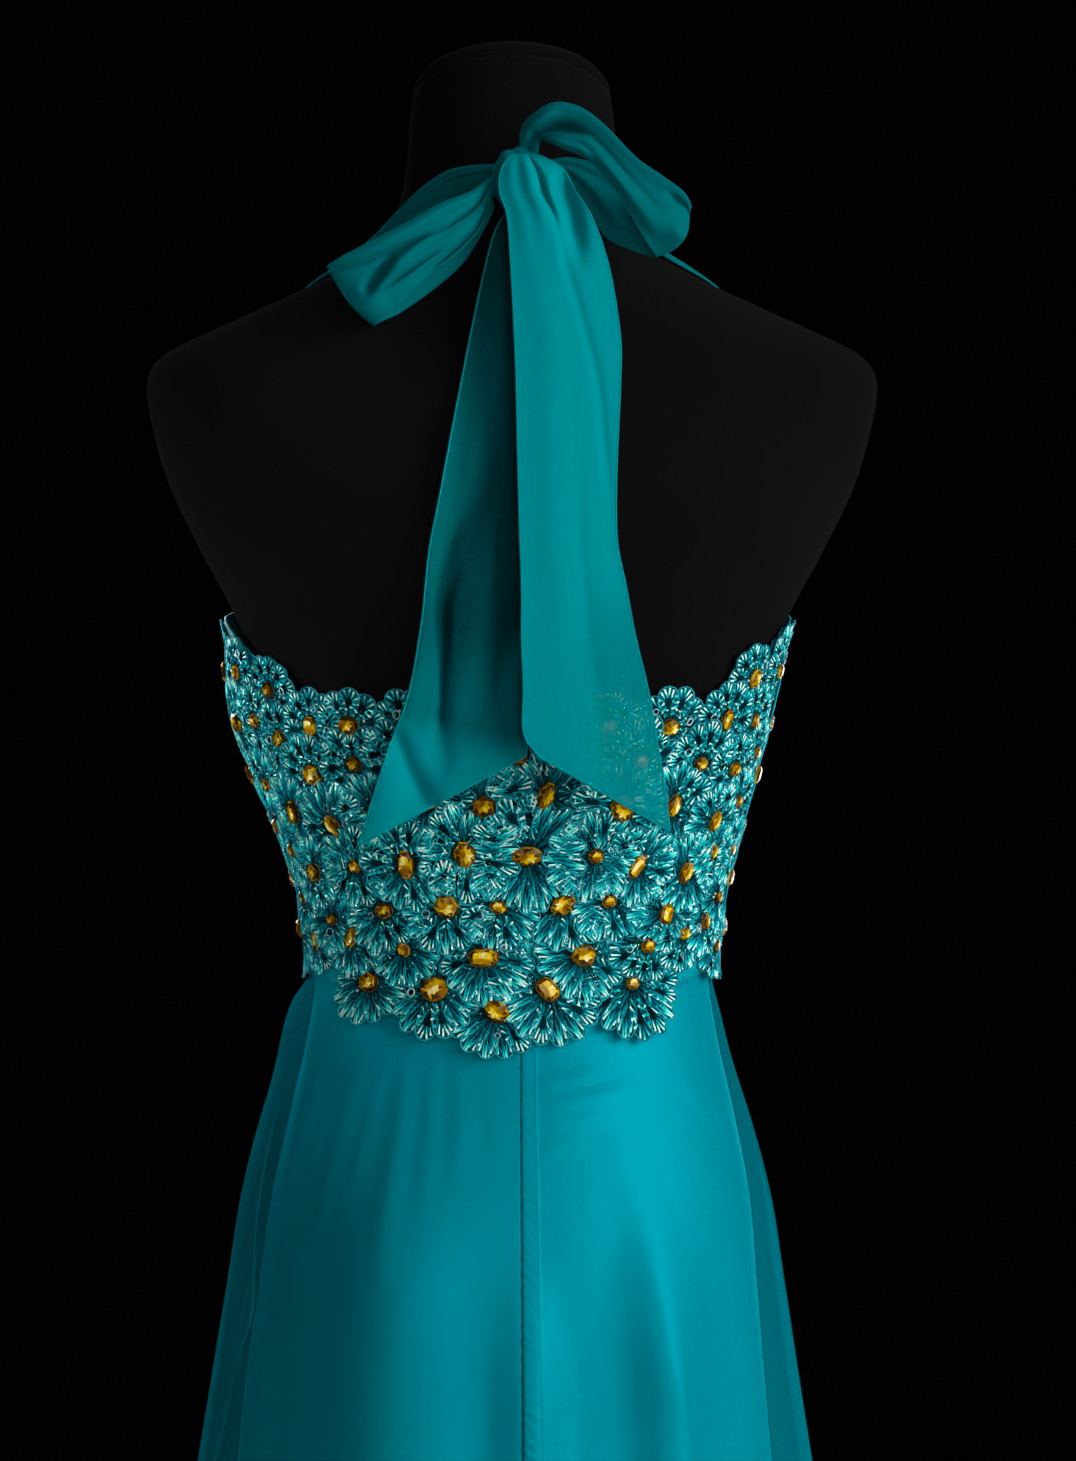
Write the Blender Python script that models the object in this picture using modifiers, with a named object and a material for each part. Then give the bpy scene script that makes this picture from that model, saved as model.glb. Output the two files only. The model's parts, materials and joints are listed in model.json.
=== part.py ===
"""Halter maxi dress on a limbless dress form, seen from the back in its photograph.

A beaded applique bodice, a satin skirt under a chiffon overskirt, and two halter straps that are
tied in a bow at the nape. The form stands on a pole and a round base. Metres, +Z up, the floor at
z = 0, the back of the dress towards -Y and the wearer's left towards -X.
"""

import math

import bmesh
import bpy
from mathutils import Vector
from mathutils.geometry import delaunay_2d_cdt

# Heights above the floor
WAIST = 1.060
FORM_BOTTOM = 0.800
SKIRT_TOP = 1.076
SATIN_HEM = 0.040
CHIFFON_HEM = 0.024

# Cloth thickness and the gaps between layers
SATIN = 0.0012
CHIFFON = 0.0010
FOUNDATION = 0.0012
RIBBON = 0.0012
FORM_INSET = 0.0004
UNDER_SATIN = 0.0006
LAYER_GAP = 0.0013
ON_FORM = 0.0013
SEAM_GAP = 0.0003

# The stand under the form
POLE_RADIUS = 0.0125
BASE_RADIUS = 0.150
BASE_EDGE = 0.008
BASE_CROWN = 0.018
SOCKET_RADIUS = 0.024
SOCKET_HEIGHT = 0.045

# The knot at the nape, where both straps, both loops and both tails meet
KNOT = Vector((0.004, -0.080, 1.495))
KNOT_SIZE = Vector((0.0145, 0.0125, 0.0170))

# Angles run round the body from the centre back, positive towards +X, in degrees
CENTRE_BACK_SEAM = 2.4
SIDE_SEAM = 95.0

# Sections of the form: height, half width, depth behind and before the pole, squareness of the ring
FORM_SECTIONS = (
    (0.812, 0.1290, 0.1040, 0.0870, 2.00),
    (0.860, 0.1320, 0.1110, 0.0940, 2.00),
    (0.900, 0.1300, 0.1090, 0.0980, 2.00),
    (0.940, 0.1260, 0.1030, 0.0980, 2.00),
    (0.980, 0.1200, 0.0940, 0.0950, 2.00),
    (1.020, 0.1130, 0.0840, 0.0900, 2.05),
    (1.060, 0.1090, 0.0780, 0.0870, 2.10),
    (1.100, 0.1155, 0.0830, 0.0910, 2.15),
    (1.150, 0.1285, 0.0940, 0.1010, 2.20),
    (1.200, 0.1412, 0.1040, 0.1090, 2.20),
    (1.250, 0.1535, 0.1100, 0.1070, 2.20),
    (1.290, 0.1740, 0.1120, 0.0980, 2.30),
    (1.330, 0.1935, 0.1080, 0.0860, 2.40),
    (1.360, 0.2025, 0.1020, 0.0750, 2.50),
    (1.385, 0.2070, 0.0940, 0.0640, 2.50),
    (1.397, 0.2045, 0.0890, 0.0590, 2.50),
    (1.405, 0.1970, 0.0865, 0.0560, 2.47),
    (1.412, 0.1840, 0.0840, 0.0540, 2.45),
    (1.420, 0.1665, 0.0810, 0.0520, 2.40),
    (1.4315, 0.1417, 0.0765, 0.0500, 2.30),
    (1.443, 0.1168, 0.0720, 0.0490, 2.20),
    (1.4545, 0.0955, 0.0660, 0.0490, 2.10),
    (1.466, 0.0800, 0.0600, 0.0500, 2.05),
    (1.480, 0.0690, 0.0555, 0.0520, 2.00),
    (1.500, 0.0618, 0.0500, 0.0560, 2.00),
    (1.520, 0.0595, 0.0470, 0.0590, 2.00),
)

# Rings of the form's solid, and the steps round it, which the inside of the bodice shares
AROUND = 36
FORM_ROWS = [0.812, 0.900, 0.965, 1.008, 1.036, 1.058, 1.078, 1.100, 1.140, 1.170, 1.195, 1.220]
FORM_ROWS += [1.245, 1.268]
SHOULDER_ROWS = [1.300, 1.345, 1.376, 1.392, 1.403, 1.412, 1.423, 1.435, 1.447, 1.459, 1.471]
SHOULDER_ROWS += [1.484, 1.500]

# Rings of both skirts above the hem
SKIRT_ROWS = [SKIRT_TOP, 1.058, 1.036, 1.008, 0.965, 0.900, 0.800, 0.600, 0.320]

# Rings of the neck above the torso sections: mid height, half width, back, front, slant of the ring
NECK_RINGS = (
    (1.5160, 0.0592, 0.0480, 0.0580, 0.15),
    (1.5310, 0.0583, 0.0455, 0.0600, 0.33),
    (1.5435, 0.0562, 0.0425, 0.0620, 0.50),
)
CAP_RINGS = ((0.0003, 0.0), (0.0055, 0.0006), (0.0100, 0.0040), (0.0125, 0.0110), (0.0135, 0.0240))

# Rounded forms of a general figure: angle, height, angle and height over which it fades, depth
FIGURE = (
    (145.0, 1.200, 27.0, 0.052, 0.0170),
    (-145.0, 1.200, 27.0, 0.052, 0.0170),
    (36.0, 1.320, 24.0, 0.055, 0.0040),
    (-36.0, 1.320, 24.0, 0.055, 0.0040),
    (34.0, 0.872, 26.0, 0.050, 0.0060),
    (-34.0, 0.872, 26.0, 0.050, 0.0060),
)

# Where the bodice stands away from the form: angle, height, how far that fades, depth
GAPING = (-97.0, 1.200, 22.0, 0.058, 0.0135)

# Inner face of the satin skirt: height, half width, depth behind and before the pole
SATIN_SECTIONS = (
    (1.090, 0.1137, 0.0816, 0.0900),
    (1.060, 0.1096, 0.0786, 0.0876),
    (1.020, 0.1150, 0.0862, 0.0915),
    (0.980, 0.1240, 0.0985, 0.0980),
    (0.930, 0.1335, 0.1100, 0.1040),
    (0.880, 0.1375, 0.1175, 0.1070),
    (0.810, 0.1425, 0.1215, 0.1110),
    (0.700, 0.1510, 0.1300, 0.1200),
    (0.500, 0.1670, 0.1490, 0.1430),
    (0.250, 0.1862, 0.1800, 0.1705),
    (0.040, 0.2005, 0.2005, 0.1900),
    (0.000, 0.2035, 0.2040, 0.1930),
)

# How far the chiffon stands off the satin: height, at the sides, at the centre back and front
CHIFFON_SECTIONS = (
    (1.090, 0.0006, 0.0006),
    (1.060, 0.0008, 0.0006),
    (1.030, 0.0050, 0.0007),
    (0.980, 0.0115, 0.0012),
    (0.930, 0.0140, 0.0020),
    (0.880, 0.0160, 0.0030),
    (0.780, 0.0200, 0.0060),
    (0.600, 0.0280, 0.0150),
    (0.300, 0.0400, 0.0320),
    (0.000, 0.0520, 0.0500),
)

# How far the chiffon hangs over to the left between the waist and the hem
LEAN = 0.0038

# Hanging folds: angle, half width of the fold, depth at the hem, height where it starts
SATIN_FOLDS = (
    (-62.0, 15.0, 0.014, 0.930),
    (-24.0, 11.0, 0.022, 0.960),
    (22.0, 12.0, 0.020, 0.900),
    (58.0, 14.0, 0.016, 0.950),
    (100.0, 13.0, 0.018, 0.900),
    (138.0, 12.0, 0.020, 0.930),
    (176.0, 13.0, 0.016, 0.900),
    (-140.0, 12.0, 0.020, 0.940),
    (-102.0, 12.0, 0.018, 0.900),
)
CHIFFON_FOLDS = (
    (-172.0, 7.0, 0.030, 0.930),
    (-153.0, 6.5, 0.022, 0.860),
    (-134.0, 7.5, 0.034, 0.960),
    (-116.0, 6.0, 0.024, 0.900),
    (-97.0, 7.0, 0.030, 0.985),
    (-80.0, 6.5, 0.034, 0.965),
    (-61.0, 7.0, 0.026, 0.900),
    (-44.0, 6.0, 0.020, 0.840),
    (-26.0, 7.5, 0.028, 0.800),
    (-8.0, 6.0, 0.016, 0.700),
    (12.0, 6.5, 0.018, 0.680),
    (31.0, 7.0, 0.028, 0.820),
    (49.0, 6.5, 0.022, 0.900),
    (66.0, 6.5, 0.030, 0.940),
    (83.0, 7.0, 0.034, 0.985),
    (101.0, 6.5, 0.026, 0.960),
    (119.0, 7.0, 0.030, 0.910),
    (137.0, 6.5, 0.024, 0.950),
    (155.0, 7.5, 0.032, 0.880),
    (171.0, 6.0, 0.020, 0.930),
)

# Edges of the bodice foundation: angle either side of the centre back, height
TOP_EDGE = (
    (0, 1.204), (30, 1.204), (46, 1.208), (60, 1.222), (76, 1.243), (90, 1.256), (104, 1.261),
    (120, 1.271), (135, 1.291), (146, 1.304), (156, 1.290), (166, 1.258), (174, 1.238), (180, 1.233),
)
BOTTOM_EDGE = (
    (0, 1.036), (30, 1.040), (52, 1.050), (72, 1.060), (95, 1.063), (120, 1.058), (150, 1.047),
    (180, 1.040),
)

# Applique flowers of the back: across and above the waist at the centre back, radius of the
# flower, length and width of its stone, and the stone's turn, in millimetres and degrees
BACK_FLOWERS = (
    (-8, -21, 27, 15, 12, -35),
    (-42, -9, 27, 16, 14, 20),
    (-78, -6, 24, 13, 12, 0),
    (20, -9, 27, 15, 11, -50),
    (66, -6, 25, 8, 8, 0),
    (-15, 9, 27, 17, 11, 5),
    (39, 10, 26, 15, 13, -20),
    (74, 15, 23, 9, 9, 0),
    (-87, 19, 23, 14, 8, 60),
    (94, 21, 22, 9, 8, 0),
    (106, 27, 20, 11, 7, 80),
    (-98, 28, 20, 8, 7, 0),
    (-107, 16, 19, 12, 6, 80),
    (-69, 34, 25, 11, 10, 0),
    (-35, 37, 26, 15, 14, -30),
    (-7, 37, 24, 10, 9, 0),
    (28, 38, 26, 15, 13, 30),
    (53, 40, 24, 9, 9, 0),
    (84, 32, 23, 13, 9, 80),
    (-108, 55, 22, 12, 11, 40),
    (-85, 59, 23, 8, 8, 0),
    (-57, 60, 27, 17, 9, 85),
    (-25, 66, 28, 15, 13, 90),
    (9, 65, 34, 17, 11, 0),
    (46, 65, 27, 9, 9, 0),
    (68, 59, 24, 15, 8, 65),
    (95, 55, 24, 14, 9, 75),
    (110, 66, 20, 10, 7, 80),
    (-119, 88, 22, 14, 10, 80),
    (-97, 81, 25, 15, 9, -60),
    (-73, 88, 24, 11, 10, 0),
    (-46, 95, 26, 13, 12, 0),
    (-15, 92, 27, 14, 13, 0),
    (19, 98, 28, 16, 10, 70),
    (60, 91, 27, 16, 13, -70),
    (88, 92, 25, 14, 9, 75),
    (111, 83, 23, 14, 8, 70),
    (-108, 109, 24, 14, 12, 10),
    (-85, 115, 23, 9, 9, 0),
    (-60, 118, 24, 12, 10, 30),
    (-30, 118, 25, 13, 11, 0),
    (4, 121, 25, 14, 11, 90),
    (38, 118, 25, 13, 10, 0),
    (70, 117, 24, 10, 9, 0),
    (103, 115, 24, 9, 8, 0),
    (122, 112, 21, 9, 9, 0),
    (-126, 129, 22, 11, 10, 20),
    (-109, 136, 21, 11, 9, 80),
    (-88, 136, 21, 13, 11, 0),
    (-54, 135, 21, 10, 10, 0),
    (-20, 136, 21, 12, 10, 40),
    (18, 136, 21, 12, 10, 0),
    (52, 135, 21, 11, 9, 20),
    (86, 135, 22, 11, 10, 0),
    (117, 139, 22, 14, 8, 80),
    (-132, 156, 20, 9, 9, 0),
    (133, 162, 20, 12, 8, 70),
)

# Rows of applique flowers round the sides and the front: height above the waist, how many
FRONT_ROWS = (
    (-6, 9), (22, 10), (51, 9), (80, 10), (109, 11), (138, 10), (167, 11), (196, 10), (224, 11),
)
FRONT_FLOWERS_FROM = 78.0
EDGE_PETALS = 7
PETALS = 6
NOTCH = 0.86

# Heights of the applique over the foundation, and how much higher the flowers at its middle lie
RIM_LIFT = 0.0007
PETAL_LIFT = 0.0024
HOLLOW_LIFT = 0.0014
STONE_LIFT = 0.0046
EDGE_LIFT = 0.0010
LAYER_LIFT = 0.0003
MOST_ROWS_FROM_MIDDLE = 3.0

# Metres for each degree when the bodice is laid flat for its triangles
FLAT_DEGREE = 0.0022

# Halter straps, from the cup to the knot: angle and height of the middle line, half the width as
# an angle and as a height, and how far it stands off the form
STRAP = (
    (146.0, 1.290, 12.0, 0.000, 0.0007),
    (147.5, 1.312, 11.0, 0.000, 0.0007),
    (150.0, 1.345, 9.0, 0.001, 0.0008),
    (152.0, 1.376, 8.0, 0.002, 0.0009),
    (149.0, 1.402, 8.0, 0.004, 0.0010),
    (141.0, 1.423, 8.0, 0.007, 0.0012),
    (126.0, 1.440, 7.0, 0.010, 0.0016),
    (105.0, 1.453, 4.0, 0.012, 0.0018),
    (80.0, 1.463, 0.0, 0.0125, 0.0020),
    (57.0, 1.479, 0.0, 0.0120, 0.0034),
    (34.0, 1.4925, 0.0, 0.0105, 0.0085),
    (20.0, 1.4965, 0.0, 0.0085, 0.0165),
    (8.8, 1.4970, 0.0, 0.0070, 0.0270),
)

STRAP_ROOM = 0.0030

# Ribbons of the bow, in millimetres from the knot: across and up at the one edge, across and up
# at the other edge, and the distance towards the viewer behind the wearer
LEFT_LOOP = (
    (-14, 2, -14, -7, 4),
    (-26, -8, -20, -27, 12),
    (-43, -16, -31, -40, 20),
    (-61, -27, -47, -53, 25),
    (-79, -37, -61, -67, 27),
    (-97, -46, -73, -78, 26),
    (-104, -50, -78, -82, 20),
    (-97, -47, -75, -79, 13),
    (-80, -38, -65, -74, 9),
    (-62, -29, -48, -62, 6),
    (-43, -20, -31, -47, 4),
    (-26, -14, -20, -30, 1),
    (-15, -8, -13, -15, -2),
)
RIGHT_LOOP = (
    (3, 19, 13, 16, -7),
    (1, 26, 12, 21, 1),
    (6, 33, 17, 19, 8),
    (19, 40, 24, 15, 13),
    (34, 37, 34, 11, 16),
    (48, 26, 43, 4, 19),
    (64, 9, 52, -7, 22),
    (78, -1, 60, -21, 23),
    (90, -10, 69, -36, 22),
    (94, -17, 74, -43, 15),
    (90, -15, 73, -43, 8),
    (77, -6, 61, -39, 5),
    (62, 1, 47, -31, 2),
    (45, 8, 36, -11, 1),
    (28, 12, 24, 2, 2),
    (15, 10, 14.4, 2, 3),
)
RIGHT_TAIL = (
    (-3, 18, 11, 18, 3),
    (-7, 13, 17, 13, 11),
    (-10, 3, 25, 3, 15.5),
    (-10, -10, 32, -10, 17),
    (-6, -23, 40, -23, 19),
    (-4, -50, 49, -50, 22),
    (-2, -88, 55, -88, 29),
    (-1, -115, 55, -115, 34),
    (0, -160, 53, -160, 40),
    (1, -198, 53, -198, 43),
    (2, -225, 58, -225, 44),
    (2, -252, 63, -252, 45),
    (3, -280, 71, -286, 45),
    (3, -315, 81, -355, 45),
)
LEFT_TAIL = (
    (-7, -18, 4, -18, 0),
    (-12, -27, 3, -27, 4),
    (-16, -40, 4, -40, 8),
    (-22, -67, 5, -67, 12),
    (-28, -97, 7, -97, 17),
    (-35, -135, 7, -135, 25),
    (-42, -174, 8, -174, 31),
    (-48, -206, 9, -206, 34),
    (-52, -245, 9, -245, 37),
    (-59, -283, 8, -280, 38),
    (-69, -310, 6, -299, 38),
    (-86, -364, 4, -316, 38),
)

DEGREE = math.pi / 180
BLACK_JERSEY = ("black_jersey", (0.012, 0.012, 0.013), 0.85, 0.0)
DARK_STEEL = ("dark_steel", (0.06, 0.06, 0.065), 0.40, 0.9)
TEAL_SATIN = ("teal_satin", (0.0, 0.30, 0.36), 0.38, 0.0)
TEAL_CHIFFON = ("teal_chiffon", (0.0, 0.26, 0.31), 0.60, 0.0)
APPLIQUE = ("applique", (0.10, 0.42, 0.44), 0.50, 0.0)


def smooth(table, column, at):
    """A column of a table at this value of its first column, on a smooth curve through the rows."""
    rows = sorted(table)
    at = min(max(at, rows[0][0]), rows[-1][0])
    i = max(k for k in range(len(rows) - 1) if rows[k][0] <= at)
    x0, x1 = rows[i][0], rows[i + 1][0]
    y0, y1 = rows[i][column], rows[i + 1][column]

    def slope(k):
        low, high = max(k - 1, 0), min(k + 1, len(rows) - 1)
        return (rows[high][column] - rows[low][column]) / (rows[high][0] - rows[low][0])

    span = x1 - x0
    t = (at - x0) / span
    m0, m1 = slope(i) * span, slope(i + 1) * span
    return (
        (2 * t**3 - 3 * t**2 + 1) * y0
        + (t**3 - 2 * t**2 + t) * m0
        + (3 * t**2 - 2 * t**3) * y1
        + (t**3 - t**2) * m1
    )


def eased(value, start, end):
    """0 at start, 1 at end, and a smooth step between them."""
    t = min(max((value - start) / (end - start), 0.0), 1.0)
    return t * t * (3 - 2 * t)


def turn_between(angle, other):
    """The angle from other to angle, from -180 to 180 degrees."""
    return (angle - other + 180) % 360 - 180


def oval_point(angle, height, half_width, back, front):
    """A point of the ring of this size at this angle from the centre back."""
    power = 2 / smooth(FORM_SECTIONS, 4, height)
    side, along = math.sin(angle * DEGREE), math.cos(angle * DEGREE)
    depth = back if along > 0 else front
    x = math.copysign(abs(side) ** power, side) * half_width
    y = -math.copysign(abs(along) ** power, along) * depth
    return Vector((x, y, height))


def figure_depth(angle, height):
    """How far the bust, shoulder blades and seat stand out of the plain sections."""
    return sum(
        depth * math.exp(-((turn_between(angle, middle) / wide) ** 2) - ((height - level) / tall) ** 2)
        for middle, level, wide, tall, depth in FIGURE
    )


def body_size(angle, height, offset):
    extra = offset + figure_depth(angle, height)
    return [smooth(FORM_SECTIONS, column, height) + extra for column in (1, 2, 3)]


def body_point(angle, height, offset):
    """A point this far outside the figure."""
    return oval_point(angle, height, *body_size(angle, height, offset))


def fold_depth(folds, angle, height, hem):
    """Hanging folds: each is a soft ridge that deepens from where it starts down to the hem."""
    depth = 0.0
    for middle, wide, deepest, start in folds:
        grown = min(max((start - height) / (start - hem), 0.0), 1.0)
        depth += deepest * grown * math.exp(-((turn_between(angle, middle) / wide) ** 2))
    return depth


def satin_size(angle, height, offset):
    extra = offset + fold_depth(SATIN_FOLDS, angle, height, SATIN_HEM)
    sizes = [smooth(SATIN_SECTIONS, column, height) + extra for column in (1, 2, 3)]
    least = body_size(angle, max(height, FORM_BOTTOM), offset + UNDER_SATIN)
    return [max(size, small) for size, small in zip(sizes, least)]


def chiffon_size(angle, height, offset):
    at_side = smooth(CHIFFON_SECTIONS, 1, height)
    at_centre = smooth(CHIFFON_SECTIONS, 2, height)
    sideways = math.sin(angle * DEGREE) ** 2
    gap = at_centre + (at_side - at_centre) * sideways
    gap -= LEAN * math.sin(angle * DEGREE) * eased(height, 1.050, 0.985) * eased(height, 0.1, 0.7)
    gap += fold_depth(CHIFFON_FOLDS, angle, height, CHIFFON_HEM)
    return satin_size(angle, height, SATIN + gap + offset)


def bodice_point(angle, height, lift):
    """A point of the bodice: over the form above the waist, and over both skirts below it."""
    beside_strap = abs(abs(turn_between(angle, 0)) - STRAP[0][0])
    room = STRAP_ROOM * (1 - eased(beside_strap, 13, 24)) * eased(height, 1.236, 1.266)
    middle, level, wide, tall, depth = GAPING
    away = ((turn_between(angle, middle) / wide) ** 2) + ((height - level) / tall) ** 2
    room += depth * math.exp(-away)
    on_form = body_size(angle, height, ON_FORM + room + lift)
    if height > 1.10:
        return oval_point(angle, height, *on_form)
    over_skirt = chiffon_size(angle, height, CHIFFON + LAYER_GAP + lift)
    share = eased(height, 1.10, SKIRT_TOP + 0.002)
    mixed = [max(a, a + (b - a) * share) for a, b in zip(on_form, over_skirt)]
    return oval_point(angle, height, *mixed)


def clear_scene():
    for thing in list(bpy.data.objects):
        bpy.data.objects.remove(thing)


def material(finish):
    name, colour, roughness, metallic = finish
    made = bpy.data.materials.get(name)
    if made is None:
        made = bpy.data.materials.new(name)
        made.use_nodes = True
        shader = made.node_tree.nodes["Principled BSDF"]
        shader.inputs["Base Color"].default_value = (*colour, 1)
        shader.inputs["Roughness"].default_value = roughness
        shader.inputs["Metallic"].default_value = metallic
    return made


def add_object(name, mesh, finish, collection):
    made = bpy.data.objects.new(name, mesh)
    made.data.materials.append(material(finish))
    collection.objects.link(made)
    mesh.shade_smooth()
    return made


def mesh_of(name, points, faces):
    mesh = bpy.data.meshes.new(name)
    mesh.from_pydata(points, [], faces)
    mesh.update()
    return mesh


def sheet_mesh(name, rows):
    """An open sheet through rows of points, each row as long as the others."""
    across = len(rows[0])
    points = [p for row in rows for p in row]
    faces = [
        (r * across + c, r * across + c + 1, (r + 1) * across + c + 1, (r + 1) * across + c)
        for r in range(len(rows) - 1)
        for c in range(across - 1)
    ]
    return mesh_of(name, points, faces)


def thicken(thing, thickness, offset):
    wall = thing.modifiers.new("thickness", "SOLIDIFY")
    wall.thickness = thickness
    wall.offset = offset
    wall.use_quality_normals = True


def loft(name, rings, finish, collection):
    """A closed solid through rings of points, listed from the bottom up."""
    around = len(rings[0])
    points = [p for ring in rings for p in ring]
    faces = []
    for low in range(0, len(points) - around, around):
        high = low + around
        for c in range(around):
            after = (c + 1) % around
            faces.append((low + c, low + after, high + after, high + c))
    faces.append(tuple(reversed(range(around))))
    faces.append(tuple(range(len(points) - around, len(points))))
    return add_object(name, mesh_of(name, points, faces), finish, collection)


def turned(name, profile, steps, finish, collection):
    """A turned piece from its profile of radius and height, top to bottom, round the pole's axis."""
    mesh = mesh_of(name, [(r, 0, z) for r, z in profile], [])
    mesh.edges.add(len(profile) - 1)
    for i, edge in enumerate(mesh.edges):
        edge.vertices = (i, i + 1)
    made = add_object(name, mesh, finish, collection)
    screw = made.modifiers.new("turning", "SCREW")
    screw.steps = screw.render_steps = steps
    screw.use_merge_vertices = True
    screw.merge_threshold = 0.00001
    return made


def dress_form(collection):
    """The padded torso, its slanted neck cap, the pole and the round base."""
    angles = [360 * i / AROUND for i in range(AROUND)]
    heights = FORM_ROWS + SHOULDER_ROWS
    rings = [[body_point(a, FORM_SECTIONS[0][0], -0.014) for a in angles]]
    for point in rings[0]:
        point.z = FORM_BOTTOM
    rings.append([body_point(a, FORM_SECTIONS[0][0], -0.004) - Vector((0, 0, 0.007)) for a in angles])
    rings += [[body_point(a, z, -FORM_INSET) for a in angles] for z in heights]
    rings += [neck_ring(angles, *ring, 0, 0) for ring in NECK_RINGS]
    loft("form_torso", rings, BLACK_JERSEY, collection)
    top = NECK_RINGS[-1]
    rings = [neck_ring(angles, *top, up, inset) for up, inset in CAP_RINGS]
    loft("form_neck_cap", rings, BLACK_JERSEY, collection)
    bpy.ops.mesh.primitive_cylinder_add(
        vertices=24,
        radius=POLE_RADIUS,
        depth=FORM_BOTTOM - SOCKET_HEIGHT - 2 * SEAM_GAP,
        location=(0, 0, (FORM_BOTTOM + SOCKET_HEIGHT) / 2),
    )
    pole = bpy.context.object
    pole.name = pole.data.name = "form_pole"
    pole.data.materials.append(material(DARK_STEEL))
    bpy.context.collection.objects.unlink(pole)
    collection.objects.link(pole)
    profile = (
        (0, SOCKET_HEIGHT),
        (SOCKET_RADIUS - 0.003, SOCKET_HEIGHT),
        (SOCKET_RADIUS, SOCKET_HEIGHT - 0.003),
        (SOCKET_RADIUS, BASE_CROWN + 0.004),
        (SOCKET_RADIUS + 0.006, BASE_CROWN),
        (BASE_RADIUS - 0.004, BASE_EDGE + 0.002),
        (BASE_RADIUS, BASE_EDGE - 0.002),
        (BASE_RADIUS, 0),
        (0, 0),
    )
    turned("form_base", profile, 36, DARK_STEEL, collection)


def neck_ring(angles, height, half_width, back, front, slant, up, inset):
    """A ring of the neck, higher at the back than at the front by its slant."""
    middle = (front - back) / 2
    ring = []
    for angle in angles:
        point = oval_point(angle, 1.50, half_width - inset, back - inset, front - inset)
        point.z = height + up - slant * (point.y - middle)
        ring.append(point)
    return ring


def skirt_panel(layer, place, first, last, collection):
    """One panel of a skirt between two seams, as a wall grown outwards from its inner face."""
    layer_name, size, thickness, step, hem, finish = layer
    name = layer_name + place
    seam = SEAM_GAP / 2 / 0.12 / DEGREE
    columns = round((last - first) / step)
    angles = [first + seam + (last - first - 2 * seam) * i / columns for i in range(columns + 1)]
    rows = [[oval_point(a, z, *size(a, z, 0)) for a in angles] for z in [hem] + SKIRT_ROWS[::-1]]
    panel = add_object(name, sheet_mesh(name, rows), finish, collection)
    thicken(panel, thickness, 1)
    return panel


def skirts(collection):
    seams = (("back_left", -SIDE_SEAM, CENTRE_BACK_SEAM), ("back_right", CENTRE_BACK_SEAM, SIDE_SEAM))
    seams += (("front", SIDE_SEAM, 360 - SIDE_SEAM),)
    satin = ("skirt_", satin_size, SATIN, 9.0, SATIN_HEM, TEAL_SATIN)
    chiffon = ("overskirt_", chiffon_size, CHIFFON, 4.3, CHIFFON_HEM, TEAL_CHIFFON)
    for layer in (satin, chiffon):
        for place, first, last in seams:
            skirt_panel(layer, place, first, last, collection)


def stretch(angle, height):
    """Metres round the bodice for each degree of angle, here."""
    return (bodice_point(angle + 1, height, 0) - bodice_point(angle - 1, height, 0)).length / 2


def edge_height(table, angle):
    return smooth(table, 1, abs(turn_between(angle, 0)))


def back_angle(across, height):
    """The angle at which the back of the bodice is this far across."""
    half_width = bodice_point(90, height, 0.001).x
    share = min(abs(across) / half_width, 0.9999)
    return math.copysign(math.asin(share ** (smooth(FORM_SECTIONS, 4, height) / 2)) / DEGREE, across)


def flowers():
    """Each flower as its angle, height, radius, stone length and width, stone turn and layer."""
    made = []
    for across, up, radius, length, width, turn in BACK_FLOWERS:
        height = WAIST + up / 1000
        size = (radius / 1000, length / 1000, width / 1000, turn)
        made.append((back_angle(across / 1000, height), height, *size))
    for row, (up, count) in enumerate(FRONT_ROWS):
        height = WAIST + up / 1000
        for i in range(count):
            share = (i + 0.25 + 0.5 * (row % 2)) / count
            angle = FRONT_FLOWERS_FROM + (360 - 2 * FRONT_FLOWERS_FROM) * share
            lowest, highest = edge_height(BOTTOM_EDGE, angle), edge_height(TOP_EDGE, angle)
            if lowest - 0.002 < height < highest - 0.012:
                size = 0.0275 + 0.0022 * math.sin(2.1 * i + row)
                wobble = 1.5 * math.sin(3.7 * i + 1.9 * row)
                long, wide = (0.015, 0.011) if (i + row) % 3 else (0.009, 0.009)
                made.append((angle + wobble, height, size, long, wide, 40 * i))
    middle = WAIST + 0.065
    layered = []
    for flower in made:
        layer = MOST_ROWS_FROM_MIDDLE - min(abs(flower[1] - middle) / 0.027, MOST_ROWS_FROM_MIDDLE)
        layered.append((*flower, layer + 0.2 * math.sin(40 * flower[0])))
    return sorted(layered, key=lambda flower: -flower[6])


def around_flower(flower, radii, turn):
    """Points round a flower's middle, as angle and height on the bodice."""
    angle, height = flower[0], flower[1]
    across = stretch(angle, height)
    points = []
    for i, radius in enumerate(radii):
        way = turn * DEGREE + 2 * math.pi * i / len(radii)
        points.append((angle + radius * math.cos(way) / across, height + radius * math.sin(way)))
    return points


def scallops(flower):
    """The outline of a flower, with two points on each petal and one between petals."""
    radii = [flower[2] * (NOTCH if i % 3 == 0 else 1) for i in range(3 * EDGE_PETALS)]
    return around_flower(flower, radii, 17 * flower[6])


def rim(flower):
    """The coarser outline of a flower within the bodice."""
    radii = [flower[2] * (1 if i % 2 == 0 else NOTCH) for i in range(2 * PETALS)]
    return around_flower(flower, radii, 17 * flower[6])


def stone_outline(flower, share):
    """Six corners of a flower's stone, at this share of its size."""
    _, _, _, length, width, turn, _ = flower
    radii = []
    for i in range(6):
        way = 2 * math.pi * i / 6 + 0.3
        half = 1 / math.hypot(math.cos(way) / (length / 2), math.sin(way) / (width / 2))
        radii.append(half * share)
    return around_flower(flower, radii, turn + 0.3 / DEGREE)


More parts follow.
